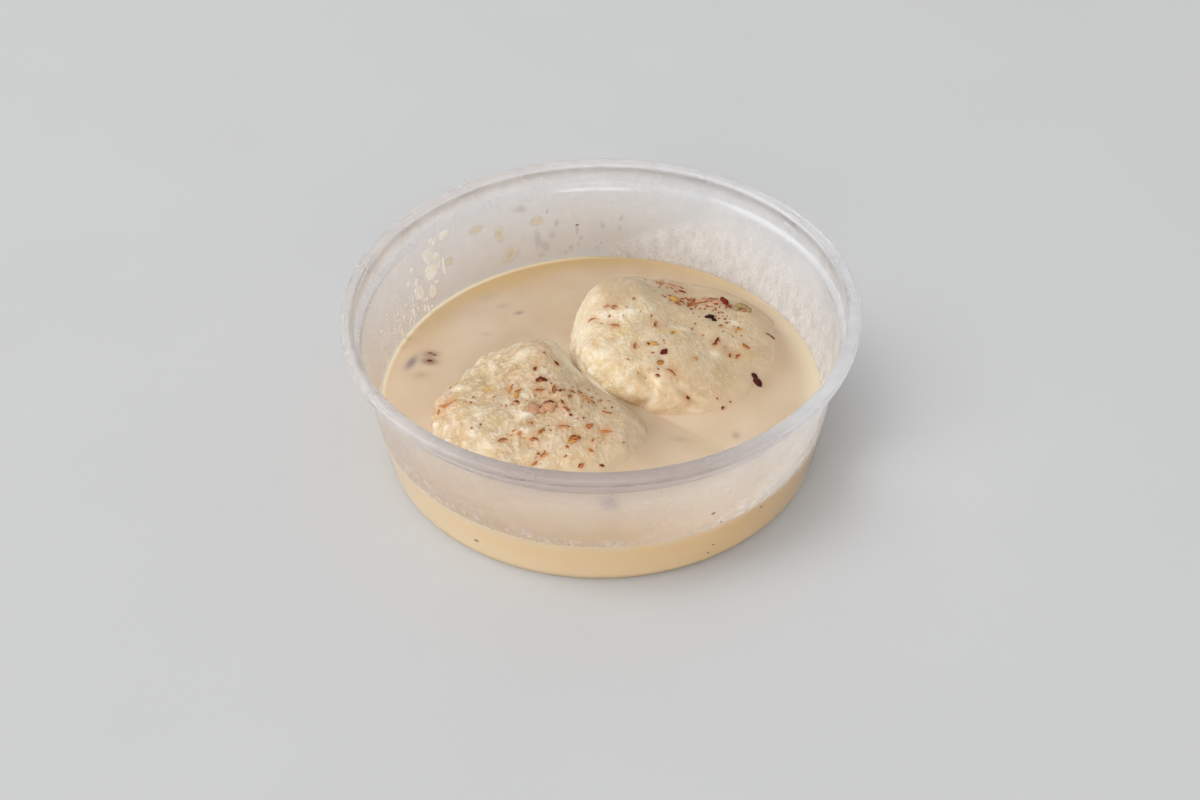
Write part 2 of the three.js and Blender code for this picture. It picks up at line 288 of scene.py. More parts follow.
def fold_depth(patty, azimuth, elevation):
    """Depth of the folds, which wander up the side and run out at both ends."""
    depth = 0
    for bearing, start, end, width, fold in patty["folds"]:
        wander = 0.09 * np.sin(elevation * 9 + bearing)
        along = (elevation - (start + end) / 2) / ((end - start) / 2)
        across = bell(turn_from(bearing + wander, azimuth), width)
        depth = depth + fold * across * np.exp(-(along**4))
    return depth


def curd_relief(patty, place, azimuth):
    """Fine relief of the curd, in millimetres: chunks, grains, creases down the side, and pits."""
    seed = patty["seed"]
    grain = patty["grain"] * (0.6 + 0.4 * noise(place / 13, seed + 2))
    chunk = patty["chunk"] * (0.65 + 0.45 * noise(place / 15, seed + 17))
    warp = np.stack([noise(place / 3.1, seed + k) for k in (21, 22, 23)], axis=1)
    bent = place + 0.9 * warp
    relief = chunk * (pebbles(bent / 5.2, seed + 6) - 0.62)
    for size, height, step in GRAINS:
        relief += height * grain * (pebbles(bent / size, seed + step) - 0.6)
    for size, height, step in RIPPLES:
        relief += height * noise(bent / size, seed + step)
    crease = np.stack([azimuth * 9, place[:, 2] * 0.12, place[:, 0] * 0.02], axis=1)
    ridges = 0.25 + patty["ridges"] * bell(turn_from(-2.0, azimuth), 0.5)
    relief += ridges * noise(crease, seed + 9) * smooth_step(20, 14, place[:, 2])
    relief -= 0.4 * smooth_step(0.42, 0.75, noise(bent / 3.6, seed + 11)) * grain
    return relief


def milk_film(patty, place, azimuth):
    """How much milk films over the curd: all of it near the milk, more to the right, and patches."""
    film, seed = patty["film"], patty["seed"]
    side = towards(azimuth, film["facing"], 1.5)
    top = MILK_LEVEL + film["least"] + film["reach"] * side + 1.3 * noise(place / 5, 31)
    low = smooth_step(top + 2.6, top - 2.0, place[:, 2])
    wander = 5 * noise(place / 6.5, seed + 40) + 2 * noise(place / 2.6, seed + 42)
    washed = film["share"] * smooth_step(film["from"], film["to"], place[:, 0] + wander)
    over_back = smooth_step(11, 19, place[:, 1] + 0.6 * wander) * smooth_step(-5, 2, place[:, 0])
    washed = np.maximum(washed, film["back"] * over_back)
    pooled = 0.45 * smooth_step(-0.1, 0.6, noise(place / 7.5, seed + 41))
    return np.maximum(low, np.maximum(washed, pooled * smooth_step(16, 20, place[:, 2])))


def skin(patty, azimuth, elevation):
    """Points of the skin, the fine relief at each, and how much milk films it over."""
    flat = np.maximum(np.cos(elevation), 0) ** PATTY_SQUARENESS
    lift = np.sign(elevation) * np.abs(np.sin(elevation)) ** PATTY_SQUARENESS
    radius = plan_radius(patty, azimuth) * flat
    x, y = radius * np.cos(azimuth), radius * np.sin(azimuth)
    drop = patty["middle"] - PATTY_FLOOR + 1
    height = lift * np.where(lift > 0, crown_rise(patty, x, y), drop)
    cx, cy = patty["centre"]
    place = np.stack([cx + x, cy + y, patty["middle"] + height], axis=1)
    fold = fold_depth(patty, azimuth, elevation)
    broad = -fold
    for size, bump in LUMPS:
        broad = broad + bump * noise(place / size, patty["seed"])
    film = milk_film(patty, place, azimuth)
    fine = curd_relief(patty, place, azimuth) * (1 - 0.7 * film)
    out = np.stack([flat * np.cos(azimuth), flat * np.sin(azimuth), lift * 1.3], axis=1)
    out /= np.linalg.norm(out, axis=1, keepdims=True)
    points = place + out * (broad + fine)[:, None]
    points[:, 2] = np.maximum(points[:, 2], PATTY_FLOOR)
    return points, fine - 0.3 * fold, film


def clear_of_milk(patty, x, y, z):
    """How far light may soak into the curd: not at all beside the milk or down the crease."""
    _, across = turned(x, y, CREASE["at"], CREASE["bearing"])
    above = z - MILK_LEVEL - cling(patty, x, y)
    return smooth_step(1.2, 5.5, above) * smooth_step(1.0, 4.5, np.abs(across))


def shore(patty, x, y, z):
    """How much milk still covers the curd just above the milk's edge."""
    azimuth, _ = from_centre(patty, x, y)
    reach = 0.7 + patty["wash"]["shore"] * towards(azimuth, patty["wash"]["facing"], 2)
    reach = reach * (1 + 0.5 * noise(np.stack([x, y, z], axis=1) / 3.2, patty["seed"] + 51))
    return smooth_step(1.0, 0.1, (z - MILK_LEVEL - cling(patty, x, y)) / reach)


def even_elevations(patty):
    """Elevations that space the rings evenly along the skin, with fewer under the milk."""
    levels = []
    for low, high, count in ((-math.pi / 2, 0, RINGS_BELOW), (0, math.pi / 2, RINGS_ABOVE)):
        fine = np.linspace(low, high, 4000)
        radius = patty["reach"][0] * np.maximum(np.cos(fine), 0) ** PATTY_SQUARENESS
        height = patty["top"] * np.sign(fine) * np.abs(np.sin(fine)) ** PATTY_SQUARENESS
        run = np.concatenate([[0], np.cumsum(np.hypot(np.diff(radius), np.diff(height)))])
        levels.append(np.interp(np.linspace(0, run[-1], count + 1)[1:], run, fine))
    return np.concatenate(levels)[:-1]


# Meshes

def mesh_object(name, points, faces, values=None):
    """A mesh object from points in millimetres, with named numbers stored at its points."""
    mesh = bpy.data.meshes.new(name)
    mesh.from_pydata((np.asarray(points, float) * MM).tolist(), [], faces)
    for label, numbers in (values or {}).items():
        stored = mesh.attributes.new(label, "FLOAT", "POINT")
        stored.data.foreach_set("value", np.asarray(numbers, np.float32))
    mesh.shade_smooth()
    made = bpy.data.objects.new(name, mesh)
    bpy.context.scene.collection.objects.link(made)
    return made


def ring_faces(rings, around):
    """Quads between rings of points that follow each other, counted from 0."""
    faces = []
    for ring in range(rings - 1):
        for i in range(around):
            j = (i + 1) % around
            low, high = ring * around, (ring + 1) * around
            faces.append((low + i, low + j, high + j, high + i))
    return faces


def domed_faces(rings, around):
    """Faces over rings of points, drawn together at each end to a point that follows them."""
    faces = ring_faces(rings, around)
    start, end, last = rings * around, rings * around + 1, (rings - 1) * around
    for i in range(around):
        j = (i + 1) % around
        faces += [(start, j, i), (end, last + i, last + j)]
    return faces


def tube_faces(rings, around):
    """Faces over rings of points, with one flat face at each end."""
    last = (rings - 1) * around
    start, end = range(around), range(last, last + around)
    return [*ring_faces(rings, around), tuple(start)[::-1], tuple(end)]


def moved_faces(faces, first):
    """Faces whose points follow others in a joined mesh."""
    return [tuple(first + corner for corner in face) for face in faces]


def ring_points(radius, height, around):
    """Points of level rings about the Z axis, one ring after another."""
    azimuth = np.arange(around) * TAU / around
    x = (radius[:, None] * np.cos(azimuth)).ravel()
    y = (radius[:, None] * np.sin(azimuth)).ravel()
    return np.stack([x, y, np.repeat(height, around)], axis=1)


def lathe(outline, around):
    """An outline in radius and height, from axis to axis, turned about the Z axis."""
    radius, height = np.array(outline[1:-1]).T
    ends = [(0, 0, outline[0][1]), (0, 0, outline[-1][1])]
    return np.vstack([ring_points(radius, height, around), ends]), domed_faces(len(radius), around)


def arc(x, y, radius, start, end, steps):
    """Points of an arc, both ends included."""
    angles = np.linspace(start, end, steps + 1)
    return [(x + radius * math.cos(a), y + radius * math.sin(a)) for a in angles]


# Colours

def srgb(red, green, blue):
    """A colour as seen on a screen, 0 to 255, in Blender's linear numbers."""
    return tuple(((v / 255 + 0.055) / 1.055) ** 2.4 if v > 10 else v / 255 / 12.92
                 for v in (red, green, blue)) + (1.0,)


class Look:
    """A material with one Principled shader and short ways to add nodes to it."""

    def __init__(self, name, **sockets):
        self.material = bpy.data.materials.new(name)
        self.material.use_nodes = True
        self.tree = self.material.node_tree
        self.shader = self.tree.nodes["Principled BSDF"]
        self.output = self.tree.nodes["Material Output"]
        self.place = None
        for label, value in sockets.items():
            self.shader.inputs[label.replace("_", " ")].default_value = value

    def node(self, kind, inputs=None, **settings):
        made = self.tree.nodes.new("ShaderNode" + kind)
        for label, value in settings.items():
            setattr(made, label, value)
        for socket, value in (inputs or {}).items():
            if isinstance(value, bpy.types.NodeSocket):
                self.tree.links.new(value, made.inputs[socket])
            else:
                made.inputs[socket].default_value = value
        return made

    def set(self, socket, value):
        self.tree.links.new(value, self.shader.inputs[socket])

    def place_node(self):
        """The object's own coordinates."""
        if self.place is None:
            self.place = self.node("TexCoord").outputs["Object"]
        return self.place

    def axes(self):
        return self.node("SeparateXYZ", {0: self.place_node()}).outputs

    def noise(self, size, detail=2.0, distortion=0.0, stretch=None):
        """Noise with features of a size in millimetres."""
        where = self.place_node()
        if stretch:
            where = self.node("Mapping", {"Vector": where, "Scale": stretch}).outputs[0]
        inputs = {"Vector": where, "Scale": 1 / (size * MM), "Detail": detail, "Distortion": distortion}
        return self.node("TexNoise", inputs).outputs["Fac"]

    def cells(self, size):
        """Distance from the middles of scattered cells of a size in millimetres."""
        inputs = {"Vector": self.place_node(), "Scale": 1 / (size * MM)}
        return self.node("TexVoronoi", inputs).outputs["Distance"]

    def value(self, label):
        return self.node("Attribute", attribute_name=label).outputs["Fac"]

    def ramp(self, factor, low, middle, high):
        """Three colours, evenly spaced."""
        made = self.node("ValToRGB", {"Fac": factor})
        stops = made.color_ramp.elements
        stops[0].color = low
        stops[1].color = high
        stops.new(0.5).color = middle
        return made.outputs["Color"]

    def span(self, value, low, high, to_low=0.0, to_high=1.0):
        inputs = {"Value": value, "From Min": low, "From Max": high, "To Min": to_low, "To Max": to_high}
        return self.node("MapRange", inputs).outputs["Result"]

    def math(self, operation, *values):
        return self.node("Math", dict(enumerate(values)), operation=operation).outputs[0]

    def times(self, a, b):
        return self.math("MULTIPLY", a, b)

    def mix(self, factor, a, b):
        return self.node("Mix", {0: factor, 6: a, 7: b}, data_type="RGBA").outputs[2]

    def bump(self, height, depth, strength=1.0):
        """Bump of a depth in millimetres."""
        inputs = {"Height": height, "Distance": depth * MM, "Strength": strength}
        self.set("Normal", self.node("Bump", inputs).outputs["Normal"])

    def blend(self, share, a, b):
        """One shader passing over into another."""
        return self.node("MixShader", {0: share, 1: a.outputs[0], 2: b.outputs[0]})

    def surface(self, shader):
        self.tree.links.new(shader.outputs[0], self.output.inputs["Surface"])
        return self.material

    def lit_through(self, tint, share, cover):
        """The material of a film that light shines through, and that fades out where it's thin."""
        self.set("Base Color", tint)
        glow = self.node("BsdfTranslucent", {"Color": tint})
        milky = self.blend(share, self.shader, glow)
        return self.surface(self.blend(cover, self.node("BsdfTransparent"), milky))


def clear_plastic():
    """Thin moulded polypropylene: clear, with a haze that is strongest above the milk, tinted with
    painted glow and shade.
    """
    look = Look("clear_plastic", Base_Color=srgb(250, 251, 252), Transmission_Weight=1.0, IOR=1.49)
    across, deep, height = look.axes()
    look.set("Roughness", look.span(height, (BAND_FOOT - 1) * MM, (BAND_FOOT + 2) * MM, 0.13, 0.2))
    sideways = look.span(across, -45 * MM, 45 * MM)
    upward = look.span(height, (MILK_LEVEL + 4) * MM, (BAND_FOOT + 2) * MM)
    near = look.span(deep, -38 * MM, -56 * MM)
    near = look.times(near, look.span(height, 26 * MM, BAND_FOOT * MM))
    # The haze's tint is painted light and shade: warm low down, a painted glow of the milk behind the
    # wall, paler towards the right; whiter higher up; and darker at the near side of the band, a painted
    # shade.
    milk_glow_tint = look.ramp(sideways, srgb(231, 208, 186), srgb(222, 194, 160), srgb(240, 231, 224))
    high_tint = look.mix(sideways, srgb(240, 234, 230), srgb(244, 244, 246))
    tint = look.mix(upward, milk_glow_tint, high_tint)
    tint = look.mix(near, tint, srgb(208, 195, 189))
    haze = look.node("BsdfDiffuse", {"Color": tint})
    glow = look.node("BsdfTranslucent", {"Color": tint})
    fog = look.span(height, (MILK_LEVEL - 1) * MM, (MILK_LEVEL + 1.5) * MM, 0.04, 0.29)
    fog = look.math("MULTIPLY_ADD", near, 0.12, fog)
    share = look.times(fog, look.span(look.noise(9, detail=3), 0.3, 0.7, 0.8, 1.2))
    body = look.blend(share, look.shader, look.blend(0.45, haze, glow))
    passing = look.node("BsdfTransparent", {"Color": srgb(247, 247, 247)})
    shadow = look.node("LightPath").outputs["Is Shadow Ray"]
    return look.surface(look.blend(shadow, body, passing))


# What colours the milk, by the name of its field, from the lowest layer up. Shade is painted shade
# beside the patties. Pale is painted light along the wall's edge and on the milk behind the wall,
# and also paler milk in the crease between the patties.
MILK_TINTS = {
    "yellow": srgb(202, 170, 119),
    "shade": srgb(204, 179, 149),
    "side": srgb(221, 187, 136),
    "froth": srgb(220, 200, 170),
    "pale": srgb(238, 225, 197),
    "grey": srgb(118, 102, 110),
    "brown": srgb(120, 76, 58),
}


def milk_look():
    """Saffron milk: warm beige, yellower along the wall, with painted shade and light, and soft spots
    below.
    """
    look = Look("saffron_milk", Roughness=0.2, IOR=1.35)
    cloud = look.span(look.noise(16, detail=3, distortion=0.6), 0.35, 0.65)
    base = look.mix(cloud, srgb(214, 193, 167), srgb(207, 183, 153))
    for label, tint in MILK_TINTS.items():
        base = look.mix(look.value(label), base, tint)
    look.set("Base Color", base)
    look.bump(look.noise(5), 0.02, 0.5)
    return look.material


# The film and low tones are milk over the curd, darkened with painted shade on the side turned from the
# key lamp and just above the milk.
CURD_TINTS = {
    "patty_back": {
        "top": srgb(249, 241, 226),
        "mid": srgb(241, 226, 199),
        "gap": srgb(224, 199, 156),
        "yellow": srgb(228, 204, 156),
        "film": srgb(198, 170, 131),
        "low": srgb(188, 158, 118),
        "shore": srgb(205, 181, 148),
    },
    "patty_front": {
        "top": srgb(238, 226, 206),
        "mid": srgb(219, 199, 170),
        "gap": srgb(202, 174, 134),
        "yellow": srgb(209, 180, 132),
        "film": srgb(194, 167, 132),
        "low": srgb(192, 165, 130),
        "shore": srgb(204, 181, 150),
    },
}
# What stains the curd in mottled patches, by the name of its field.
STAINS = {"blush": srgb(192, 142, 106), "amber": srgb(212, 170, 100), "stain": srgb(204, 150, 104)}


def curd_look(name, tints):
    """Curd: pale cream on its lumps, yellower and darker in its gaps and folds, which is partly painted
    shade, and milk-coloured where milk films it.
    """
    look = Look(name, Subsurface_Scale=0.002, Subsurface_Radius=(1.0, 0.88, 0.7), IOR=1.4)
    look.set("Subsurface Weight", look.span(look.value("soft"), 0.0, 1.0, 0.0, 0.7))
    relief = look.span(look.value("relief"), -0.42, 0.28)
    # From darker, yellower curd in the gaps and folds to pale cream on the lumps: partly the curd's own
    # colour, partly painted shade.
    base = look.ramp(relief, tints["gap"], tints["mid"], tints["top"])
    blotch = look.span(look.noise(3.6, detail=3, distortion=0.5), 0.48, 0.66, 0.0, 0.8)
    base = look.mix(blotch, base, tints["yellow"])
    # Whitish specks over the crumbly grains.
    crumb = look.span(look.cells(0.95), 0.1, 0.65, 1.0, 0.0)
    whitish_specks = look.times(look.span(look.noise(1.6, detail=3), 0.48, 0.62, 0.0, 0.6), crumb)
    base = look.mix(whitish_specks, base, tints["top"])
    # Milk film over the curd; its tone also carries painted shade on the side away from the key lamp.
    film = look.times(look.value("film"), look.span(look.noise(4), 0.3, 0.6, 0.8, 1.0))
    base = look.mix(film, base, tints["film"])
    # Darker again just above the milk: painted shade over the milk film.
    low = look.span(look.axes()[2], (MILK_LEVEL + 6) * MM, (MILK_LEVEL + 1) * MM, 0.0, 0.85)
    base = look.mix(look.times(low, film), base, tints["low"])
    base = look.mix(look.times(whitish_specks, 0.4), base, tints["top"])
    mottle = look.span(look.noise(0.9), 0.35, 0.6, 0.45, 1.0)
    for label, tint in STAINS.items():
        base = look.mix(look.times(look.value(label), mottle), base, tint)
    base = look.mix(look.value("mauve"), base, srgb(168, 142, 142))
    # Whiter curd, and patches of painted light.
    base = look.mix(look.value("whiter_and_painted_light"), base, srgb(245, 235, 208))
    base = look.mix(look.value("shore"), base, tints["shore"])
    look.set("Base Color", base)
    look.set("Roughness", look.span(look.value("film"), 0.0, 1.0, 0.5, 0.25))
    unfilmed = look.span(look.value("film"), 0.2, 1.0, 1.0, 0.4)
    bare = look.times(unfilmed, look.span(look.value("shore"), 0.0, 1.0, 1.0, 0.3))
    fine = look.math("ADD", crumb, look.noise(0.5, detail=3))
    look.bump(look.times(fine, bare), 0.2, 0.9)
    return look.material


# Tones of each chopped nut: three of its flesh, its skin's, and its grain's.
NUT_TINTS = {
    "nut_sliver": [(158, 82, 36), (186, 116, 60), (208, 152, 102), (98, 36, 12), (186, 116, 60)],
    "nut_crumb": [(158, 82, 36), (186, 116, 60), (208, 152, 102), (148, 72, 36), (186, 116, 60)],
    "nut_piece": [(202, 156, 122), (210, 168, 134), (188, 138, 102), (146, 90, 60), (168, 116, 84)],
    "nut_olive": [(162, 138, 94), (152, 116, 78), (160, 104, 70), (128, 74, 46), (178, 158, 116)],
    "nut_red": [(112, 24, 12), (126, 36, 18), (150, 76, 48), (58, 14, 10), (126, 36, 18)],
    "nut_amber": [(172, 106, 34), (198, 142, 66), (208, 164, 96), (132, 70, 24), (198, 142, 66)],
    "seed": [(16, 7, 6), (92, 20, 14), (44, 20, 14), (40, 12, 12), (92, 20, 14)],
    "wall_speck": [(150, 86, 44), (170, 104, 56), (190, 130, 80), (72, 34, 26), (170, 104, 56)],
}


def nut_look(name):
    """Chopped nut: a waxy body with its dark skin along one side."""
    low, middle, high, skin_tone, grain = [srgb(*tint) for tint in NUT_TINTS[name]]
    look = Look(name, Roughness=0.55, Specular_IOR_Level=0.15)
    tone = look.ramp(look.value("tone"), low, middle, high)
    streak = look.span(look.noise(0.4, stretch=(1, 1, 2)), 0.35, 0.65, 0.0, 0.7)
    flesh = look.mix(streak, tone, grain)
    ragged = look.span(look.noise(0.5), 0.3, 0.7, -0.12, 0.12)
    edge = look.math("ADD", look.value("across"), ragged)
    look.set("Base Color", look.mix(look.span(edge, -0.04, 0.06), flesh, skin_tone))
    look.bump(look.noise(0.3), 0.04, 0.5)
    return look.material


def splash_look(name, thin, thick, share):
    """Milk or whey splashed on the wall: thin at its edge, fuller in its middle, and lit through."""
    look = Look(name, Roughness=0.5, IOR=1.33, Specular_IOR_Level=0.2)
    tint = look.mix(look.span(look.value("depth"), 0.4, 0.95), srgb(*thin), srgb(*thick))
    return look.lit_through(tint, 0.35, look.span(look.value("depth"), 0.0, 0.6, *share))


def cloudy_look(name, one, other, size=2.0, detail=2.0, **sockets):
    """Two soft tones, for what is too small or too plain to show more."""
    look = Look(name, **sockets)
    tone = look.span(look.noise(size, detail=detail), 0.3, 0.7)
    look.set("Base Color", look.mix(tone, srgb(*one), srgb(*other)))
    return look.material


def veil_look(veil):
    """A thin bubbly film of milk left on the wall."""
    look = Look(veil["name"], Roughness=0.3, IOR=1.35, Specular_IOR_Level=0.2)
    ring = look.span(look.cells(0.8), 0.15, 0.5, 0.7, 1.0)
    patchy = look.noise(2.2, detail=3, stretch=veil["stretch"])
    patchy = look.span(patchy, 0.36, 0.62, veil["patches"], 1.0)
    tint = look.mix(patchy, srgb(*veil["thin"]), srgb(*veil["thick"]))
    cover = look.times(look.value("cover"), look.times(ring, patchy))
    return look.lit_through(tint, 0.4, cover)


# Tub

def wall_inside(z):
    """Radius of the tub's inner wall at a height."""
    return BASE_RADIUS + WALL_SLOPE * z - WALL


def tub_outline():
    """Outline of the tub's wall, from under its base, up outside, over the rim and down inside."""
    skirt_foot = TUB_HEIGHT - SKIRT_DROP
    under_rim = TUB_HEIGHT - WALL - SKIRT_ROUND
    step_top = BAND_FOOT + STEP_RISE
    skirt_inside = RIM_RADIUS - WALL
    band_inside = BAND_RADIUS - WALL
    top = TUB_HEIGHT - RIM_ROUND
    outer_foot = BASE_RADIUS + WALL_SLOPE * BAND_FOOT
    inner_foot = wall_inside(BAND_FOOT)
    half, quarter = math.pi, math.pi / 2
    return [
        (0, 0),
        *arc(FILLET_FOOT, BASE_FILLET, BASE_FILLET, -quarter, -WALL_ANGLE, 10),
        (outer_foot - 0.06, BAND_FOOT - 0.4),
        (outer_foot, BAND_FOOT),
        (BAND_RADIUS - 0.45, step_top - 0.5),
        *arc(BAND_RADIUS - STEP_EDGE, step_top + 0.1, STEP_EDGE, -0.8, 0.0, 4),
        (BAND_RADIUS, under_rim),
        *arc(BAND_RADIUS + SKIRT_ROUND, under_rim, SKIRT_ROUND, half, quarter, 4),
        *arc(skirt_inside - SKIRT_ROUND, under_rim, SKIRT_ROUND, quarter, 0.0, 4),
        (skirt_inside, skirt_foot + 0.3),
        *arc(RIM_RADIUS - WALL / 2, skirt_foot + WALL / 2, WALL / 2, -half, 0.0, 8),
        (RIM_RADIUS, top - 0.5),
        *arc(RIM_RADIUS - RIM_ROUND, top, RIM_ROUND, 0.0, quarter, 6),
        *arc(band_inside + RIM_ROUND, top, RIM_ROUND, quarter, half, 6),
        (band_inside, top - 1.0),
        *arc(band_inside - STEP_ROUND, step_top + STEP_EDGE, STEP_ROUND, 0.0, -0.9, 5),
        (inner_foot + 0.1, BAND_FOOT + 0.15),
        (inner_foot - 0.02, BAND_FOOT - 0.5),
        *arc(FILLET_FOOT, BASE_FILLET, BASE_FILLET - WALL, -WALL_ANGLE, -quarter, 8),
        (0, WALL),
    ]


def make_tub():
    """The tub's thin wall, in one piece from base to rim."""
    points, faces = lathe(tub_outline(), TUB_SEGMENTS)
    made = mesh_object("tub_wall", points, faces)
    made.data.materials.append(clear_plastic())
    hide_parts("tub")
    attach(made, "root")
    return made


# Milk

def waterline(patty):
    """Radius of a patty's skin at the milk's level, by azimuth."""
    azimuth = np.linspace(-math.pi, math.pi, WATERLINE_STEPS)
    points, _, _ = skin(patty, azimuth, np.full(WATERLINE_STEPS, WATERLINE_ELEVATION))
    _, radius = from_centre(patty, points[:, 0], points[:, 1])
    return azimuth, radius


def outside_patty(patty, x, y):
    """Distance outside a patty's waterline; negative inside it."""
    azimuth, away = from_centre(patty, x, y)
    return away - np.interp(azimuth, *waterline(patty))


# Soft spots below the milk's surface, in rows like those of a patty's spots.
SUNK_SPOTS = {
    "grey": [
        (-45.8, 11.2, 3.6, 1.5, 1.18, 0.8), (-43.0, 12.6, 3.6, 2.6, 0.3, 0.2),
        (-20.2, 29.7, 1.4, 0.8, 0.2, 0.62), (-24.2, 32.6, 1.7, 1.1, 0.2, 0.24),
        (-28.1, 36.4, 3.4, 1.8, 0.4, 0.16), (42.6, 17.8, 2.4, 1.3, -0.5, 0.2),
        (1.2, -39.9, 2.7, 2.1, 0.0, 1.0),
    ],
    "brown": [
        (-41.2, 14.3, 2.7, 1.6, -0.1, 0.62), (-41.3, 11.6, 2.4, 1.7, -0.2, 0.85),
        (-43.2, 6.5, 2.8, 1.4, 0.1, 0.22), (-28.1, 21.6, 1.7, 1.0, 0.3, 0.2),
        (30.6, -17.8, 1.2, 1.3, 0.4, 0.42), (17.7, -19.5, 2.4, 1.1, 0.1, 0.2),
    ],
}


def spot_fields(spots, x, y):
    """How strongly the spots of each tone show at each place on the plan."""
    fields = {}
    for tone, rows in spots.items():
        fields[tone] = np.zeros(len(x))
        for at_x, at_y, half_length, half_width, turn, strength in rows:
            along, across = turned(x, y, (at_x, at_y), turn)
            away = (along / half_length) ** 2 + (across / half_width) ** 2
            fields[tone] = np.maximum(fields[tone], strength * np.exp(-1.6 * away))
    return fields


def surface_fields(x, y):
    """What colours the milk's surface at each place: yellow edge, painted light on its rim, paler milk in
    the crease, painted shade beside the patties, and sunk spots.
    """
    azimuth = np.arctan2(y, x)
    from_wall = wall_inside(MILK_LEVEL) - np.hypot(x, y)
    back = bell(turn_from(1.85, azimuth), 0.85)
    reach = (5.0 + 6.0 * back) * (1 + 0.35 * plan_noise(x, y, 8, 47))
    strength = 0.12 + 0.85 * back + 0.3 * bell(turn_from(0.75, azimuth), 0.3)
    # Painted light: a thin highlight along the left wall, and a broad pool of light by the right wall.
    left = towards(azimuth, 2.9, 0.7) * smooth_step(1.1, 0.1, from_wall)
    right = 0.85 * bell(turn_from(-0.1, azimuth), 0.8) * smooth_step(6.5, 0.3, from_wall)
    # Painted shade: darker milk beside each patty, on its side away from the key lamp.
    beside = []
    for patty in (BACK_PATTY, FRONT_PATTY):
        bearing, _ = from_centre(patty, x, y)
        near = np.exp(-np.maximum(outside_patty(patty, x, y), 0) / 2.4)
        beside.append(near * towards(bearing, -0.5))
    return {
        "yellow": strength * smooth_step(1.0, 0.0, from_wall / reach),
        "shade": np.maximum(*beside),
        "pale": np.maximum(np.maximum(left, right), crease_fill(x, y) / 18),
        **spot_fields(SUNK_SPOTS, x, y),
    }


def side_fields(place):
    """What colours the milk behind the wall: yellow, painted light on its lit side and low down, and
    froth.
    """
    azimuth = np.arctan2(place[:, 1], place[:, 0])
    ragged = place[:, 2] + 0.7 * noise(place / 2.5, 61)
    return {
        "side": smooth_step(12.0, 11.2, place[:, 2]),
        # Painted light: paler on the left front, towards the lamps, and paler low down as if lit from
        # below.
        "pale": 0.4 * towards(azimuth, 3.7) + 0.15 * smooth_step(10, 3, place[:, 2]),
        "froth": 0.8 * towards(azimuth, 4.1, 0.8) * smooth_step(10.0, 11.8, ragged),
    }


def cling(patty, x, y):
    """How far milk climbs towards a patty's skin."""
    azimuth, _ = from_centre(patty, x, y)
    wash = towards(azimuth, patty["wash"]["facing"])
    rise = PATTY_MENISCUS["rise"] + patty["wash"]["rise"] * wash
    width = PATTY_MENISCUS["width"] + patty["wash"]["width"] * wash
    return rise * np.exp(-np.maximum(outside_patty(patty, x, y), -PATTY_MENISCUS["climb"]) / width)


def crease_fill(x, y):
    """How far milk stands up in the crease between the patties."""
    along, across = turned(x, y, CREASE["at"], CREASE["bearing"])
    reach = (along / CREASE["length"]) ** 2 + (across / CREASE["width"]) ** 2
    return CREASE["rise"] * np.exp(-reach)


def milk_surface():
    """Points of the milk's surface, ring by ring, with finer rings where it climbs the wall."""
    edge = wall_inside(MILK_LEVEL + WALL_MENISCUS["rise"]) + INTO_WALL
    inner = np.linspace(0.6, edge - EDGE_WIDTH, MILK_RINGS)
    outer = edge - EDGE_WIDTH * (1 - np.linspace(0, 1, EDGE_RINGS + 1)[1:]) ** 1.4
    radii = np.concatenate([inner, outer])
    points = ring_points(radii, np.full(len(radii), MILK_LEVEL), MILK_AROUND)
    x, y, _ = points.T
    width = WALL_MENISCUS["width"] * (1 + 0.5 * plan_noise(x, y, 9, 43))
    rise = WALL_MENISCUS["rise"] * np.exp(-(edge - INTO_WALL - np.hypot(x, y)) / width)
    for climb in (cling(BACK_PATTY, x, y), cling(FRONT_PATTY, x, y), crease_fill(x, y)):
        rise = np.maximum(rise, climb)
    points[:, 2] += rise + 0.05 * plan_noise(x, y, 14, 41)
    return points


def milk_side():
    """Points of the milk's side and of its rounded foot, ring by ring from the top."""
    levels = np.linspace(MILK_LEVEL, BASE_FILLET, SIDE_RINGS)
    outline = [(wall_inside(level) + INTO_WALL, level) for level in levels]
    corner = BASE_FILLET - WALL + INTO_WALL
    outline += arc(FILLET_FOOT, BASE_FILLET, corner, -WALL_ANGLE, -math.pi / 2, 6)[1:]
    radius, height = np.array(outline).T
    return ring_points(radius, height, MILK_AROUND)


def make_milk():
    """The milk: its surface from the middle out, then its side, closed underneath."""
    surface, side = milk_surface(), milk_side()
    points = np.vstack([surface, side, (0, 0, MILK_LEVEL), (0, 0, side[-1][2])])
    rings = (len(surface) + len(side)) // MILK_AROUND
    faces = [face[::-1] for face in domed_faces(rings, MILK_AROUND)]
    on_top, behind = surface_fields(surface[:, 0], surface[:, 1]), side_fields(side)
    plain_top, plain_side = np.zeros(len(surface)), np.zeros(len(side))
    values = {}
    for label in MILK_TINTS:
        parts = on_top.get(label, plain_top), behind.get(label, plain_side), (0, 0)
        values[label] = np.concatenate(parts)
    made = mesh_object("saffron_milk", points, faces, values)
    made.data.materials.append(milk_look())
    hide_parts("milk")
    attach(made, "root")
    return made


def nut_stain(x, y):
    """Where the curd takes colour from the chips that lie on it."""
    stain = np.zeros(len(x))
    for at_x, at_y, length, *_ in SLIVERS:
        away = np.hypot(x - at_x, y - at_y)
        stain = np.maximum(stain, 0.8 * bell(away, 0.5 * length + 0.35))
    return stain


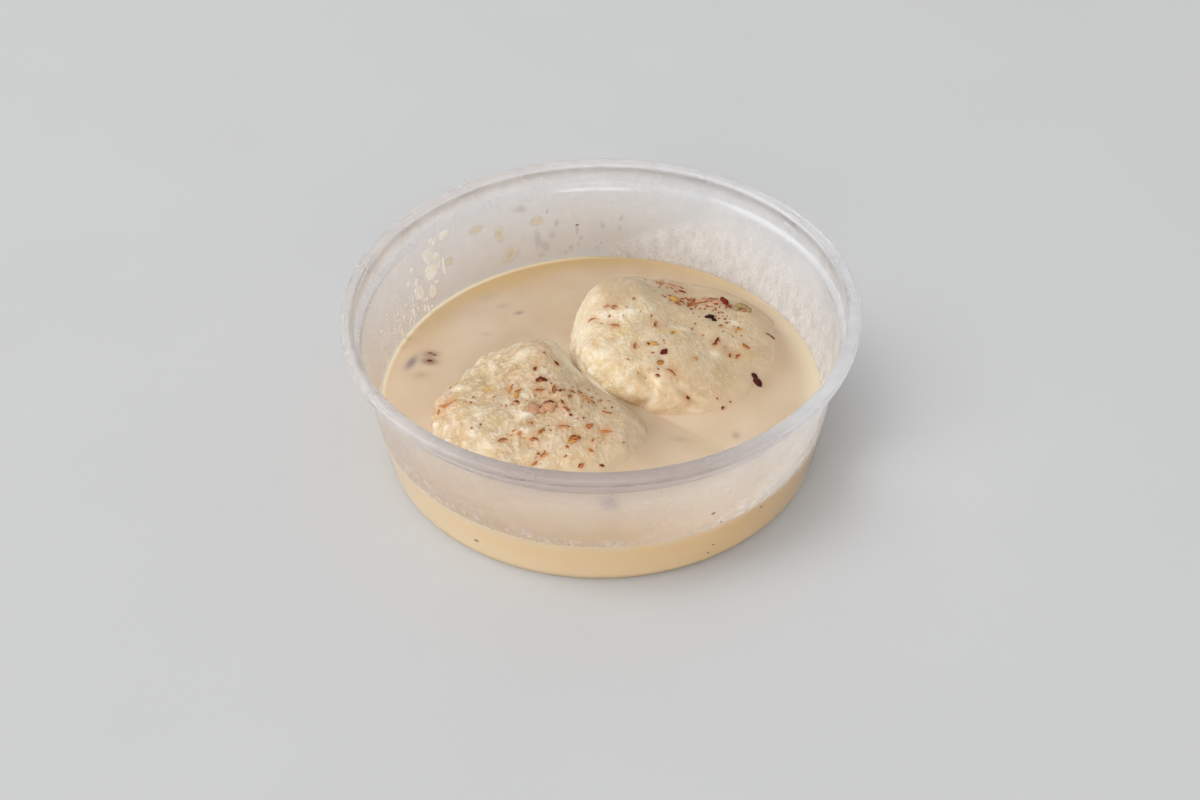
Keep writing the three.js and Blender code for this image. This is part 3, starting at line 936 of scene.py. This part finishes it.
def make_patty(patty):
    """The curd of one patty, with what colours it stored at its points."""
    name = "curd_" + patty["name"]
    levels = even_elevations(patty)
    azimuth = np.tile(np.arange(PATTY_AROUND) * TAU / PATTY_AROUND, len(levels))
    elevation = np.repeat(levels, PATTY_AROUND)
    poles = (-math.pi / 2, math.pi / 2)
    points, relief, film = skin(patty, np.append(azimuth, (0, 0)), np.append(elevation, poles))
    values = {
        "relief": relief,
        "film": film,
        "soft": clear_of_milk(patty, *points.T),
        "shore": shore(patty, *points.T),
        "stain": nut_stain(points[:, 0], points[:, 1]),
        **spot_fields(patty["spots"], points[:, 0], points[:, 1]),
    }
    made = mesh_object(name, points, domed_faces(len(levels), PATTY_AROUND), values)
    made.data.materials.append(curd_look(name, CURD_TINTS[patty["name"]]))
    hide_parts(patty["name"])
    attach(made, "root")
    return made


# Nuts

CHIP_SIDES = 12
# Rings of a chip, from below: how wide each is, and its height as a share of the thickness.
CHIP_LAYERS = ((0.8, -0.5), (1.0, -0.2), (0.98, 0.25), (0.78, 0.5))


def chip_shape(random, length, width, thick, bow, point):
    """A chopped chip: an uneven slab with rounded edges, bowed and drawn in towards its ends."""
    angles = (np.arange(CHIP_SIDES) + 0.35 * random.uniform(-1, 1, CHIP_SIDES)) * TAU / CHIP_SIDES
    reach = random.uniform(0.72, 1.15, CHIP_SIDES)
    x = np.cos(angles) * reach * length / 2
    y = np.sin(angles) * reach * width / 2
    y = y * (1 - 0.5 * x / length) * (1 - point * (2 * x / length) ** 2)
    points = []
    for size, level in CHIP_LAYERS:
        tilt = random.uniform(-0.1, 0.1, CHIP_SIDES)
        points += list(np.stack([x * size, y * size, thick * (level + tilt)], axis=1))
    points += [(0, 0, -0.5 * thick), (random.uniform(-0.15, 0.15) * length, 0, 0.58 * thick)]
    points = np.array(points)
    across = points[:, 1] / width
    points[:, 1] += bow * length * (2 * points[:, 0] / length) ** 2
    return points, domed_faces(len(CHIP_LAYERS), CHIP_SIDES), across


def surface_tree(piece):
    """A piece's faces, in millimetres, ready to be met from above."""
    points = [vertex.co / MM for vertex in piece.data.vertices]
    return BVHTree.FromPolygons(points, [tuple(face.vertices) for face in piece.data.polygons])


def top_height(trees, x, y):
    """Height of the uppermost surface over a place on the plan."""
    hits = [tree.ray_cast(Vector((x, y, TUB_HEIGHT)), -UP)[0] for tree in trees]
    return max(hit.z for hit in hits if hit is not None)


def lie_at(trees, x, y, reach):
    """Where a chip lies, and the direction it faces, fitted to what is under its reach."""
    east, west = top_height(trees, x + reach, y), top_height(trees, x - reach, y)
    north, south = top_height(trees, x, y + reach), top_height(trees, x, y - reach)
    normal = Vector((west - east, south - north, 2 * reach)).normalized()
    height = (top_height(trees, x, y) + (east + west + north + south) / 4) / 2
    return np.array((x, y, height)), normal


def place_chips(name, chips, usual, trees, material, seed):
    """One joined mesh of chips, each laid on the surface under it, with what is usual for its kind."""
    random = np.random.default_rng(seed)
    points, faces, across, tones = [], [], [], []
    for x, y, length, width, bearing, skin_at, *more in chips:
        own = usual | more[0] if more else usual
        thick = own.get("thick", 0.15 + 0.3 * width)
        bow = own.get("bow", random.uniform(-0.18, 0.12))
        shape, sides, over = chip_shape(random, length, width, thick, bow, own.get("point", 0.7))
        at, normal = lie_at(trees, x, y, 0.35 * length)
        roll = own.get("roll", random.uniform(-0.3, 0.3))
        turn = Matrix.Rotation(bearing, 3, "Z") @ Matrix.Rotation(roll, 3, "X")
        turn = np.array(UP.rotation_difference(normal).to_matrix() @ turn)
        raised = at + np.array(normal) * thick * (0.5 - own.get("sink", 0.38))
        faces += moved_faces(sides, len(points))
        points += list(shape @ turn.T + raised)
        drawn = random.choice((0.35, 0.55, 0.75))
        across += list(over + (drawn if skin_at is None else skin_at) - 0.5)
        tones += [own.get("tone", random.uniform())] * len(shape)
    made = mesh_object(name, points, faces, {"across": across, "tone": tones})
    made.data.materials.append(material)
    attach(made, "root")


# Chips and seeds that stand out: x and y over the tub, length, width, turn, where the skin starts
# (drawn at random where it says None), and what else is set.
SLIVERS = [
    (27.6, 7.3, 2.2, 0.9, 1.1, 0.75), (27.0, 6.0, 1.4, 0.8, 0.5, 0.6), (30.4, 3.8, 1.6, 0.6, 1.5, 0.5),
    (32.2, 3.9, 1.9, 0.8, 0.9, 0.45), (1.6, 15.2, 1.7, 0.5, 0.1, 0.3), (3.3, 15.1, 1.7, 0.5, 0.2, 0.45),
    (3.6, 9.4, 2.6, 0.6, -0.35, 0.5, {"bow": -0.08}), (-2.0, 12.6, 2.3, 0.5, 0.1, 0.15),
    (13.0, 10.1, 2.8, 0.7, 1.5, 0.4), (20.3, 30.4, 1.9, 0.6, -0.2, 0.95),
    (18.2, 32.8, 2.2, 0.5, -0.4, 0.3), (16.3, -4.8, 2.8, 0.5, -0.7, 0.6, {"bow": -0.12}),
    (13.0, -5.8, 1.2, 0.9, -0.4, 0.6), (19.8, -9.7, 1.2, 0.8, -0.5, 0.8),
    (28.0, -10.3, 1.2, 0.9, 0.9, 0.5), (29.8, -9.0, 0.7, 0.5, 0.2, 0.7),
    (26.7, -9.1, 0.6, 0.5, 0.2, 0.7), (34.5, 7.2, 2.0, 0.9, -0.5, 0.55),
    (22.1, -0.5, 1.2, 0.6, -0.7, 0.25), (41.0, 14.0, 2.6, 0.6, -0.4, 0.95, {"bow": -0.12}),
    (28.8, 13.1, 1.2, 0.7, 0.4, 0.8), (23.1, 25.8, 1.6, 0.5, 1.3, 0.85),
    (21.8, 21.8, 1.5, 0.8, 0.9, 0.7), (24.3, 24.7, 1.2, 0.5, 0.2, 0.55),
    (18.8, 20.8, 1.8, 0.6, 0.1, 0.4), (22.1, 19.2, 0.8, 0.6, 0.1, 0.9),
    (11.2, 3.4, 1.1, 0.6, -1.0, 0.8), (7.9, 2.6, 2.2, 0.6, 1.4, 0.0),
    (-13.8, -8.3, 3.0, 1.3, 0.1, 0.85, {"thick": 0.8, "bow": -0.1}),
    (-14.3, -11.4, 2.6, 0.6, 0.05, 0.6), (-10.9, -11.6, 2.7, 0.8, 1.4, 0.5, {"thick": 0.8}),
    (-9.4, -12.2, 0.9, 0.7, 0.3, 0.95), (-21.0, -10.2, 2.9, 0.9, 1.25, 0.12),
    (-19.3, -14.5, 1.7, 0.7, -0.5, 0.7), (-19.1, -11.4, 1.7, 0.7, 0.2, 0.35),
    (-10.3, -2.7, 1.7, 0.7, -0.75, 0.9), (-15.3, -4.8, 1.3, 0.8, 1.3, 0.7),
    (-6.7, -11.3, 1.5, 0.6, -0.3, 0.8), (-4.8, -11.0, 1.0, 0.5, 0.1, 0.6),
    (-7.3, -13.2, 1.0, 0.7, 0.9, 0.3), (-3.4, -12.8, 2.6, 0.9, -0.3, 0.35),
    (-2.1, -13.7, 1.3, 0.5, -0.8, 0.8), (-0.3, -12.0, 0.6, 0.4, -0.9, 0.8),
    (-9.0, -15.4, 1.5, 0.6, -1.2, 0.75), (-8.1, -17.4, 2.1, 0.7, -0.9, 0.4),
    (-7.1, -19.3, 0.9, 0.7, 0.5, 0.9), (-4.2, -20.0, 0.6, 0.5, 0.5, 0.9),
    (1.0, -17.8, 2.3, 0.5, -0.3, 0.7, {"bow": 0.12}),
    (-11.4, -15.4, 1.7, 0.6, -0.5, 0.95, {"sink": -1.3}), (-16.1, -21.0, 1.4, 0.6, -0.4, 0.5),
    (-8.6, -22.6, 3.0, 0.6, -0.12, 0.6, {"bow": 0.05}),
    (-2.9, -22.4, 1.8, 1.2, 0.5, 0.45, {"thick": 0.8}), (0.8, -23.4, 2.9, 0.7, -0.1, 0.1),
    (-13.9, -23.5, 1.5, 0.7, 0.9, 0.5), (-22.4, -24.8, 2.6, 0.8, 0.2, 0.6, {"bow": -0.14}),
    (-18.7, -23.9, 1.5, 0.8, 0.8, 0.1), (-15.4, -25.3, 2.2, 0.7, -0.15, 0.6, {"bow": -0.14}),
    (-6.3, -25.7, 2.9, 1.2, 0.3, 0.5, {"thick": 0.9, "bow": -0.14}), (-2.2, -26.2, 1.2, 0.5, 1.4, 0.35),
    (-8.0, -27.9, 1.0, 0.6, -0.3, 0.5), (-2.7, -28.7, 1.4, 0.7, -0.6, 0.4),
    (-13.0, -29.3, 2.7, 0.9, 0.45, 0.35, {"bow": -0.12}), (-15.1, -31.2, 2.0, 0.6, 0.8, 0.4),
    (-5.0, -32.2, 1.6, 1.1, 0.7, 0.5), (-0.3, -31.7, 1.5, 0.8, 0.0, 0.75),
    (4.7, -25.9, 0.6, 0.4, 0.0, 0.6), (-29.4, -12.0, 0.6, 0.5, 0.0, 0.7),
    (-29.9, -13.5, 0.6, 0.5, 0.6, 0.6), (-29.4, -21.9, 0.6, 0.5, 0.3, 0.5),
    (-35.1, -5.4, 0.7, 0.5, 0.3, 0.8), (-13.2, -0.7, 0.5, 0.5, 0.3, 0.8),
    (-35.8, -12.0, 5.0, 0.8, -0.05, 0.18, {"tone": 0.8, "bow": 0.1}),
    (-37.6, -12.7, 1.5, 0.6, 1.1, 0.35, {"tone": 0.6}),
    (-41.4, 14.7, 1.5, 0.4, -0.3, 0.9, {"sink": 0.7}),
    (-40.3, 13.9, 1.3, 0.4, -0.2, 0.9, {"sink": 0.72}),
    (-41.3, 11.8, 1.5, 0.6, -0.15, 0.95, {"sink": 0.66}),
]
PALE_PIECES = [
    (24.8, 24.2, 3.6, 1.9, 0.1, 0.2, {"thick": 0.9, "tone": 0.5}),
    (28.6, 22.8, 2.8, 1.6, -0.2, 0.2, {"thick": 0.8, "tone": 0.5}),
    (14.6, 33.0, 2.8, 1.4, 0.1, 0.1, {"thick": 0.6, "tone": 0.5}),
    (-15.5, -16.7, 3.6, 3.4, 0.1, 0.15, {"thick": 1.2, "tone": 0.3}),
    (-13.6, -17.0, 2.4, 2.2, 0.7, 0.35, {"thick": 1.1, "tone": 0.6}),
    (-11.8, -16.4, 3.8, 3.3, 0.2, 0.25, {"thick": 1.2, "tone": 0.1}),
]
OLIVE = [
    (34.1, 23.1, 3.2, 2.2, 0.3, 0.1, {"thick": 1.5, "tone": 0.1}),
    (35.6, 22.1, 2.8, 2.2, -0.5, 0.2, {"thick": 1.6, "tone": 0.6}),
    (33.3, 21.8, 2.0, 1.4, 0.9, 0.0, {"thick": 1.2, "tone": 0.0}),
    (35.0, 21.3, 1.9, 1.0, 0.2, 0.55, {"thick": 1.0, "tone": 0.9}),
]
RED = [
    (30.6, 24.4, 4.2, 1.8, -1.15, 0.6, {"thick": 1.0, "tone": 0.4, "point": 0.85}),
    (31.5, 22.6, 2.0, 0.9, -0.9, 0.3, {"thick": 0.7, "tone": 0.9}),
]
AMBER = [
    (12.6, 3.3, 2.7, 1.2, -0.2, 0.3), (13.8, -1.9, 1.9, 1.5, 0.5, 0.45, {"tone": 0.1}),
    (18.2, 22.8, 3.0, 2.7, 0.2, 0.1, {"thick": 0.9, "tone": 0.9}), (33.1, 13.2, 2.2, 0.7, 0.3, 0.35),
    (-19.4, -12.6, 2.2, 1.2, 1.2, 0.1), (-6.9, -26.6, 2.2, 1.0, 0.4, 0.1),
    (17.0, 7.8, 1.3, 0.7, 0.8, 0.1),
]
SEEDS = [
    (26.6, 16.6, 2.1, 1.9, 0.3, None, {"tone": 0.0, "point": 0.3}),
    (25.7, 16.2, 1.3, 0.9, 0.1, None, {"tone": 0.0, "point": 0.3}),
    (27.3, 15.4, 1.3, 1.4, 1.3, None, {"tone": 0.0, "point": 0.3}),
    (14.8, 1.2, 1.9, 1.7, 0.8, 0.0, {"tone": 0.5, "point": 0.2}),
    (36.0, -1.5, 2.4, 1.3, -1.0, 0.0, {"tone": 1.0, "thick": 0.9, "point": 0.3}),
    (36.6, -2.6, 2.4, 1.8, -0.8, 0.2, {"tone": 0.85, "thick": 1.2, "point": 0.2}),
]
# Where crumbs are strewn: the middle's x and y, how far each way, and how many.
CRUMB_DRIFTS = [
    (23.5, 23.5, 7, 3, 150),
    (30, 17, 4, 5, 20),
    (17, 31, 5, 3, 16),
    (27, 12, 9, 7, 12),
    (14, 4, 10, 9, 12),
    (4, 14, 6, 4, 8),
    (-6, -14, 7, 5, 30),
    (-9, -26, 10, 5, 18),
    (-22, -15, 9, 8, 10),
]


def strewn_crumbs():
    """Crumbs round the middle of each drift, dense in the middle and thin at its edge."""
    random = np.random.default_rng(29)
    crumbs = []
    for middle_x, middle_y, spread_x, spread_y, count in CRUMB_DRIFTS:
        for _ in range(count):
            away, bearing = random.uniform() ** 0.7 * 1.25, random.uniform(0, TAU)
            x = middle_x + spread_x * away * math.cos(bearing)
            y = middle_y + spread_y * away * math.sin(bearing)
            length = random.uniform(0.3, 1.1)
            width = 0.12 + length * random.uniform(0.2, 0.5)
            turn = random.uniform(0, math.pi)
            crumbs.append((x, y, length, width, turn, random.choice([0.0, 0.3, 0.5, 0.65])))
    return crumbs


def make_nuts(trees):
    """Every kind of chopped nut and seed, each kind one piece."""
    lump = {"roll": 0.0, "bow": 0.0, "point": 0.1, "sink": 0.5}
    for name, look, chips, usual, seed in (
        ("nut_red", "nut_red", RED, {}, 12),
        ("nut_slivers", "nut_sliver", SLIVERS, {}, 5),
        ("nut_pieces", "nut_piece", PALE_PIECES, lump, 6),
        ("nut_olive", "nut_olive", OLIVE, lump, 10),
        ("nut_amber", "nut_amber", AMBER, {}, 7),
        ("seeds", "seed", SEEDS, {}, 8),
        ("nut_crumbs", "nut_crumb", strewn_crumbs(), {}, 9),
    ):
        place_chips(name, chips, usual, trees, nut_look(look), seed)


# Seam of milk between the patties, coloured as a painted highlight

# The thread's way over the plan, the sides round it, its steps from place to place, and its radius.
SEAM = [(-2.4, -2.6), (-1.2, -3.8), (0.0, -5.0), (1.2, -5.9), (2.4, -6.8), (3.6, -7.6)]
SEAM_SIDES = 8
SEAM_STEPS = 6
SEAM_THICK = 0.15


def make_seam(trees):
    """A thin wet thread of milk where the two patties touch, near-white as a painted highlight."""
    path = []
    for (x0, y0), (x1, y1) in zip(SEAM, SEAM[1:]):
        for step in np.arange(SEAM_STEPS) / SEAM_STEPS:
            x, y = x0 + (x1 - x0) * step, y0 + (y1 - y0) * step
            path.append((x, y, top_height(trees, x, y)))
    path = np.array(path)
    path[1:-1] = (path[:-2] + path[1:-1] * 2 + path[2:]) / 4
    run = np.gradient(path, axis=0)
    run /= np.linalg.norm(run, axis=1, keepdims=True)
    across = np.cross(run, (0, 0, 1))
    across /= np.linalg.norm(across, axis=1, keepdims=True)
    over = np.cross(across, run)
    thickness = SEAM_THICK * np.sin(np.linspace(0.25, math.pi - 0.25, len(path)))
    points = []
    for spot, a, b, t in zip(path, across, over, thickness):
        for angle in np.arange(SEAM_SIDES) * TAU / SEAM_SIDES:
            points.append(spot + t * (a * math.cos(angle) + b * math.sin(angle)))
    made = mesh_object("milk_seam_highlight", points, tube_faces(len(path), SEAM_SIDES))
    # Near-white, paler than the milk: a painted highlight along the seam.
    made.data.materials.append(
        cloudy_look("milk_seam_highlight", (252, 242, 222), (246, 232, 206), Roughness=0.14, IOR=1.35))
    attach(made, "root")


# Splashes on the wall

SPLASH_SIDES = 12
# How far a splash's edge reaches into the wall.
SPLASH_SUNK = 0.06
# Rings of a splash's dome, from its edge inwards.
DOME_RINGS = (1.0, 0.75, 0.5, 0.25)

# Splashes that stand out: azimuth in degrees, height, half width, half height, and how full.
MILK_DROPS = [
    (140.3, 22.7, 3.0, 2.4, 0.5), (140.9, 26.6, 1.5, 2.6, 0.22), (138.4, 24.9, 1.3, 1.9, 0.2),
    (146.5, 19.4, 1.9, 2.0, 0.4), (146.7, 22.1, 0.9, 1.5, 0.2), (141.7, 17.2, 1.4, 1.7, 0.3),
    (134.4, 29.8, 1.4, 1.3, 0.22), (137.8, 29.2, 0.6, 1.2, 0.15), (138.8, 30.2, 0.6, 0.8, 0.12),
    (147.3, 26.4, 0.9, 0.8, 0.3), (149.9, 23.6, 0.9, 0.8, 0.3), (149.6, 19.4, 0.6, 0.5, 0.2),
    (139.6, 18.7, 0.8, 0.7, 0.22), (136.2, 21.4, 0.6, 2.6, 0.15), (150.2, 15.6, 0.6, 1.9, 0.22),
    (152.9, 13.8, 0.5, 0.8, 0.2), (154.9, 17.0, 0.9, 0.7, 0.28), (157.6, 16.4, 0.7, 0.6, 0.22),
    (157.2, 13.9, 0.7, 1.7, 0.25), (152.5, 14.3, 0.7, 1.0, 0.22), (160.8, 13.4, 0.7, 0.7, 0.22),
]
YELLOW_DROPS = [
    (106.7, 24.3, 2.0, 2.1, 0.1), (117.9, 23.2, 1.8, 2.4, 0.1), (115.2, 16.8, 3.0, 2.8, 0.1),
    (134.5, 22.0, 1.6, 1.7, 0.1), (124.5, 26.9, 2.4, 1.6, 0.1),
]
WHEY_DROPS = [
    (111.1, 28.6, 2.3, 1.5, 0.2), (106.9, 19.0, 1.5, 3.4, 0.22), (105.0, 17.0, 1.2, 2.2, 0.2),
    (103.8, 26.4, 0.6, 1.0, 0.2), (101.5, 22.8, 0.9, 1.2, 0.2), (102.8, 19.6, 1.0, 1.7, 0.2),
    (106.2, 14.6, 0.8, 0.9, 0.2), (95.8, 20.2, 0.7, 1.4, 0.2), (94.9, 18.0, 0.6, 1.0, 0.2),
    (97.8, 15.5, 0.9, 0.9, 0.2), (99.4, 14.4, 0.6, 0.6, 0.2), (95.5, 16.2, 0.5, 0.5, 0.2),
    (88.9, 21.4, 1.0, 1.3, 0.22), (83.7, 23.4, 0.75, 1.1, 0.22), (84.1, 20.6, 0.7, 1.3, 0.22),
    (90.4, 15.1, 0.5, 0.6, 0.2), (89.3, 16.4, 0.35, 0.5, 0.2), (87.4, 16.6, 0.3, 0.4, 0.2),
    (84.3, 14.8, 0.4, 0.9, 0.2), (81.7, 13.2, 0.7, 0.5, 0.2), (75.1, 17.4, 0.6, 0.6, 0.2),
    (75.5, 15.1, 0.6, 1.0, 0.2), (69.4, 20.8, 0.6, 2.0, 0.2), (67.8, 18.6, 0.7, 0.8, 0.2),
    (63.8, 22.0, 1.6, 0.7, 0.16), (65.3, 16.7, 0.9, 0.9, 0.2), (64.0, 18.6, 0.5, 0.6, 0.2),
    (62.7, 14.6, 0.7, 0.9, 0.2), (61.0, 18.9, 0.8, 0.6, 0.16), (57.6, 16.0, 0.9, 1.4, 0.18),
    (54.5, 17.6, 0.6, 0.8, 0.18), (51.7, 19.7, 0.7, 0.9, 0.18), (46.6, 19.7, 0.5, 0.7, 0.18),
]
# Bands of fine splashes: azimuth and height reached, how many, sizes, and how tall for their width.
MILK_BANDS = [
    {"azimuth": (142, 171), "height": (12.8, 23), "count": 46, "size": (0.16, 0.42), "tall": (0.8, 2.6)},
    {"azimuth": (-8, 36), "height": (12.8, 26), "count": 26, "size": (0.12, 0.3), "tall": (2.0, 5.0)},
]
# Films of milk left on the wall: how high each reaches by azimuth in degrees, and how dense.
VEILS = [
    {
        "name": "milk_veil_near", "cover": 0.8, "thin": (212, 202, 190), "thick": (242, 237, 231),
        "stretch": (1, 1, 0.9), "patches": 0.1,
        "azimuth": (192, 200, 212, 228, 246, 262, 280, 300),
        "reach": (13.0, 17.0, 20.5, 19.5, 17.5, 15.5, 14.4, 13.4),
    },
    {
        "name": "milk_veil_right", "cover": 1.0, "thin": (236, 230, 224), "thick": (254, 252, 250),
        "stretch": (0.6, 0.6, 1), "patches": 0.0,
        "azimuth": (292, 302, 312, 322, 332, 342),
        "reach": (13.0, 16.5, 20.0, 24.0, 22.0, 16.0),
    },
    {
        "name": "milk_veil_far", "cover": 0.95, "thin": (238, 234, 230), "thick": (254, 252, 250),
        "stretch": (1, 1, 0.5), "patches": 0.62,
        "azimuth": (-22, -10, 4, 16, 52, 64, 78, 94),
        "reach": (13.0, 22.0, 28.0, 30.5, 30.5, 27.0, 20.0, 13.0),
    },
]
# A film's columns and rows, the columns over which its ends fade, and its foot's height.
VEIL_COLUMNS = 240
VEIL_ROWS = 30
VEIL_FADE = 30
VEIL_FOOT = MILK_LEVEL - 0.9
# How far a film stands off the wall, and how far its back reaches into it.
VEIL_THICK = 0.12
VEIL_SUNK = 0.05
# Crumbs on the wall: azimuth in degrees, height, length and width.
WALL_SPECKS = [
    (95.8, 21.6, 0.9, 0.6),
    (236.7, 5.7, 1.1, 0.7),
    (298.9, 12.9, 0.6, 0.5),
    (296.2, 17.2, 1.2, 0.8),
    (297.6, 5.6, 0.6, 0.4),
    (296.4, 3.3, 0.6, 0.4),
    (311.6, 10.5, 1.0, 0.6),
]


def on_wall(azimuth, height, inward):
    """A place on the tub's inner wall, moved inwards by a distance."""
    radius = wall_inside(height) - inward
    return np.stack([radius * np.cos(azimuth), radius * np.sin(azimuth), height], axis=-1)


def band_splashes(bands, random):
    """Fine splashes strewn over each band, thickest low down."""
    made = []
    for band in bands:
        low, high = band["height"]
        for _ in range(band["count"]):
            share = random.beta(1.3, 2.0)
            size = random.uniform(*band["size"])
            tall = size * random.uniform(*band["tall"])
            made.append((random.uniform(*band["azimuth"]), low + (high - low) * share, size, tall, 0.14))
    return made


def make_splashes(name, splashes, material, seed):
    """One joined mesh of low domes on the inner wall."""
    random = np.random.default_rng(seed)
    angles = np.arange(SPLASH_SIDES) * TAU / SPLASH_SIDES
    *quads, outer, inner = tube_faces(len(DOME_RINGS), SPLASH_SIDES)
    sides = [(a, d, c, b) for a, b, c, d in quads] + [inner[::-1], outer[::-1]]
    points, faces, depth = [], [], []
    for azimuth, height, half_width, half_height, fullness in splashes:
        thick = 0.08 + 0.16 * fullness
        wobble = 1 + 0.16 * np.sin(angles * 2 + random.uniform(0, TAU))
        wobble += 0.1 * np.sin(angles * 3 + random.uniform(0, TAU))
        faces += moved_faces(sides, len(points))
        for share in DOME_RINGS:
            rise = thick * math.cos(share * math.pi / 2) - SPLASH_SUNK * share
            around = share * half_width * wobble * np.cos(angles) / wall_inside(height)
            level = height + share * half_height * wobble * np.sin(angles)
            points += list(on_wall(np.radians(azimuth) + around, level, rise))
            depth += [1 - share] * SPLASH_SIDES
    made = mesh_object(name, points, faces, {"depth": depth})
    for edge in made.data.edges:
        edge.use_edge_sharp = all(depth[corner] == 0 for corner in edge.vertices)
    made.data.materials.append(material)
    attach(made, "root")


def make_veil(veil):
    """A thin shell of milk on the wall, from just under the milk's level up to its ragged edge."""
    along = np.linspace(veil["azimuth"][0], veil["azimuth"][-1], VEIL_COLUMNS)
    azimuth = np.radians(along)
    reach = np.interp(along, veil["azimuth"], veil["reach"])
    reach = reach + 0.9 * noise(np.stack([azimuth * 22, azimuth * 0, azimuth * 0], axis=1), 51)
    step = np.arange(VEIL_COLUMNS)
    ends = smooth_step(0, VEIL_FADE, step) * smooth_step(0, VEIL_FADE, step[::-1])
    up = np.linspace(0, 1, VEIL_ROWS)
    rows = [(VEIL_THICK, level) for level in up] + [(-VEIL_SUNK, level) for level in up[::-1]]
    points = [on_wall(azimuth, VEIL_FOOT + (reach - VEIL_FOOT) * level, inward) for inward, level in rows]
    cover = [smooth_step(0, 0.15, level) * (1 - level**2) * ends * veil["cover"] for _, level in rows]
    points, cover = np.stack(points, axis=1).reshape(-1, 3), np.stack(cover, axis=1).ravel()
    made = mesh_object(veil["name"], points, tube_faces(VEIL_COLUMNS, len(rows)), {"cover": cover})
    made.data.materials.append(veil_look(veil))
    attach(made, "root")


def make_specks(random):
    """Crumbs that stick to the inner wall, as one mesh."""
    points, faces, across = [], [], []
    for azimuth, height, length, width in WALL_SPECKS:
        shape, sides, over = chip_shape(random, length, width, 0.3, 0, 0.2)
        around = np.radians(azimuth) + shape[:, 0] / wall_inside(height)
        faces += [face[::-1] for face in moved_faces(sides, len(points))]
        points += list(on_wall(around, height + shape[:, 1], shape[:, 2] - 0.2))
        across += list(over + 0.1)
    specks = mesh_object("wall_specks", points, faces, {"across": across, "tone": [0.3] * len(points)})
    specks.data.materials.append(nut_look("wall_speck"))
    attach(specks, "root")


def make_wall_marks():
    """Everything that the milk left on the inner wall."""
    random = np.random.default_rng(17)
    for name, drops, thin, thick, share, seed in (
        ("milk_drops", MILK_DROPS, (254, 253, 251), (248, 238, 210), (0.85, 1.0), 1),
        ("yellow_drops", YELLOW_DROPS, (226, 214, 186), (220, 202, 154), (0.0, 0.6), 2),
        ("whey_drops", WHEY_DROPS, (186, 178, 168), (176, 168, 156), (0.0, 0.3), 3),
    ):
        make_splashes(name, drops, splash_look(name, thin, thick, share), seed)
    spatter = cloudy_look("milk_spatter", (252, 249, 245), (243, 237, 229), Roughness=0.3, IOR=1.35)
    make_splashes("milk_spatter", band_splashes(MILK_BANDS, random), spatter, 4)
    for veil in VEILS:
        make_veil(veil)
    make_specks(random)


# Stage

CAMERA = {
    "lens": 55.2,
    "sensor": 36.0,
    "at": (-0.00043, -0.3303, 0.2961),
    "below_horizon": math.radians(41.04),
    "roll": math.radians(-1.15),
}
LIGHTS = [
    {"name": "key", "at": (-2.95, 0.1, 2.7), "size": 3.0, "power": 88, "tint": (1.0, 0.995, 0.985)},
    {"name": "front", "at": (0.1, -3.3, 1.05), "size": 1.8, "power": 44, "tint": (1.0, 0.995, 0.99)},
]
SKY = {"tint": (0.9, 0.9, 0.9, 1), "strength": 0.64}
FLOOR_HALF = 3000


def make_stage():
    """Camera, lamps, sky and a plain floor."""
    scene = bpy.context.scene
    data = bpy.data.cameras.new("camera")
    data.lens = CAMERA["lens"]
    data.sensor_width = CAMERA["sensor"]
    data.clip_start, data.clip_end = 0.01, 20
    camera = bpy.data.objects.new("camera", data)
    tilt = Matrix.Rotation(math.pi / 2 - CAMERA["below_horizon"], 4, "X")
    roll = Matrix.Rotation(CAMERA["roll"], 4, "Z")
    camera.matrix_world = Matrix.Translation(CAMERA["at"]) @ tilt @ roll
    scene.collection.objects.link(camera)
    scene.camera = camera
    for light in LIGHTS:
        lamp = bpy.data.lights.new(light["name"], "AREA")
        lamp.size = light["size"]
        lamp.energy = light["power"]
        lamp.color = light["tint"]
        made = bpy.data.objects.new(light["name"], lamp)
        made.location = light["at"]
        made.rotation_euler = (-Vector(light["at"])).to_track_quat("-Z", "Y").to_euler()
        scene.collection.objects.link(made)
    world = bpy.data.worlds.new("studio")
    world.use_nodes = True
    sky = world.node_tree.nodes["Background"]
    sky.inputs["Color"].default_value = SKY["tint"]
    sky.inputs["Strength"].default_value = SKY["strength"]
    scene.world = world
    corners = [(x * FLOOR_HALF, y * FLOOR_HALF, 0) for x, y in ((-1, -1), (1, -1), (1, 1), (-1, 1))]
    floor = mesh_object("floor", corners, [(0, 1, 2, 3)])
    floor.data.materials.append(cloudy_look(
        "floor", (204, 205, 206), (206, 207, 208), 60, 3.0, Roughness=0.9, Specular_IOR_Level=0.1))
    scene.view_settings.view_transform = "Standard"
    scene.view_settings.look = "None"


make_stage()
make_tub()
milk = make_milk()
patties = [make_patty(BACK_PATTY), make_patty(FRONT_PATTY)]
ground = [surface_tree(piece) for piece in (milk, *patties)]
make_nuts(ground)
make_seam(ground)
make_wall_marks()
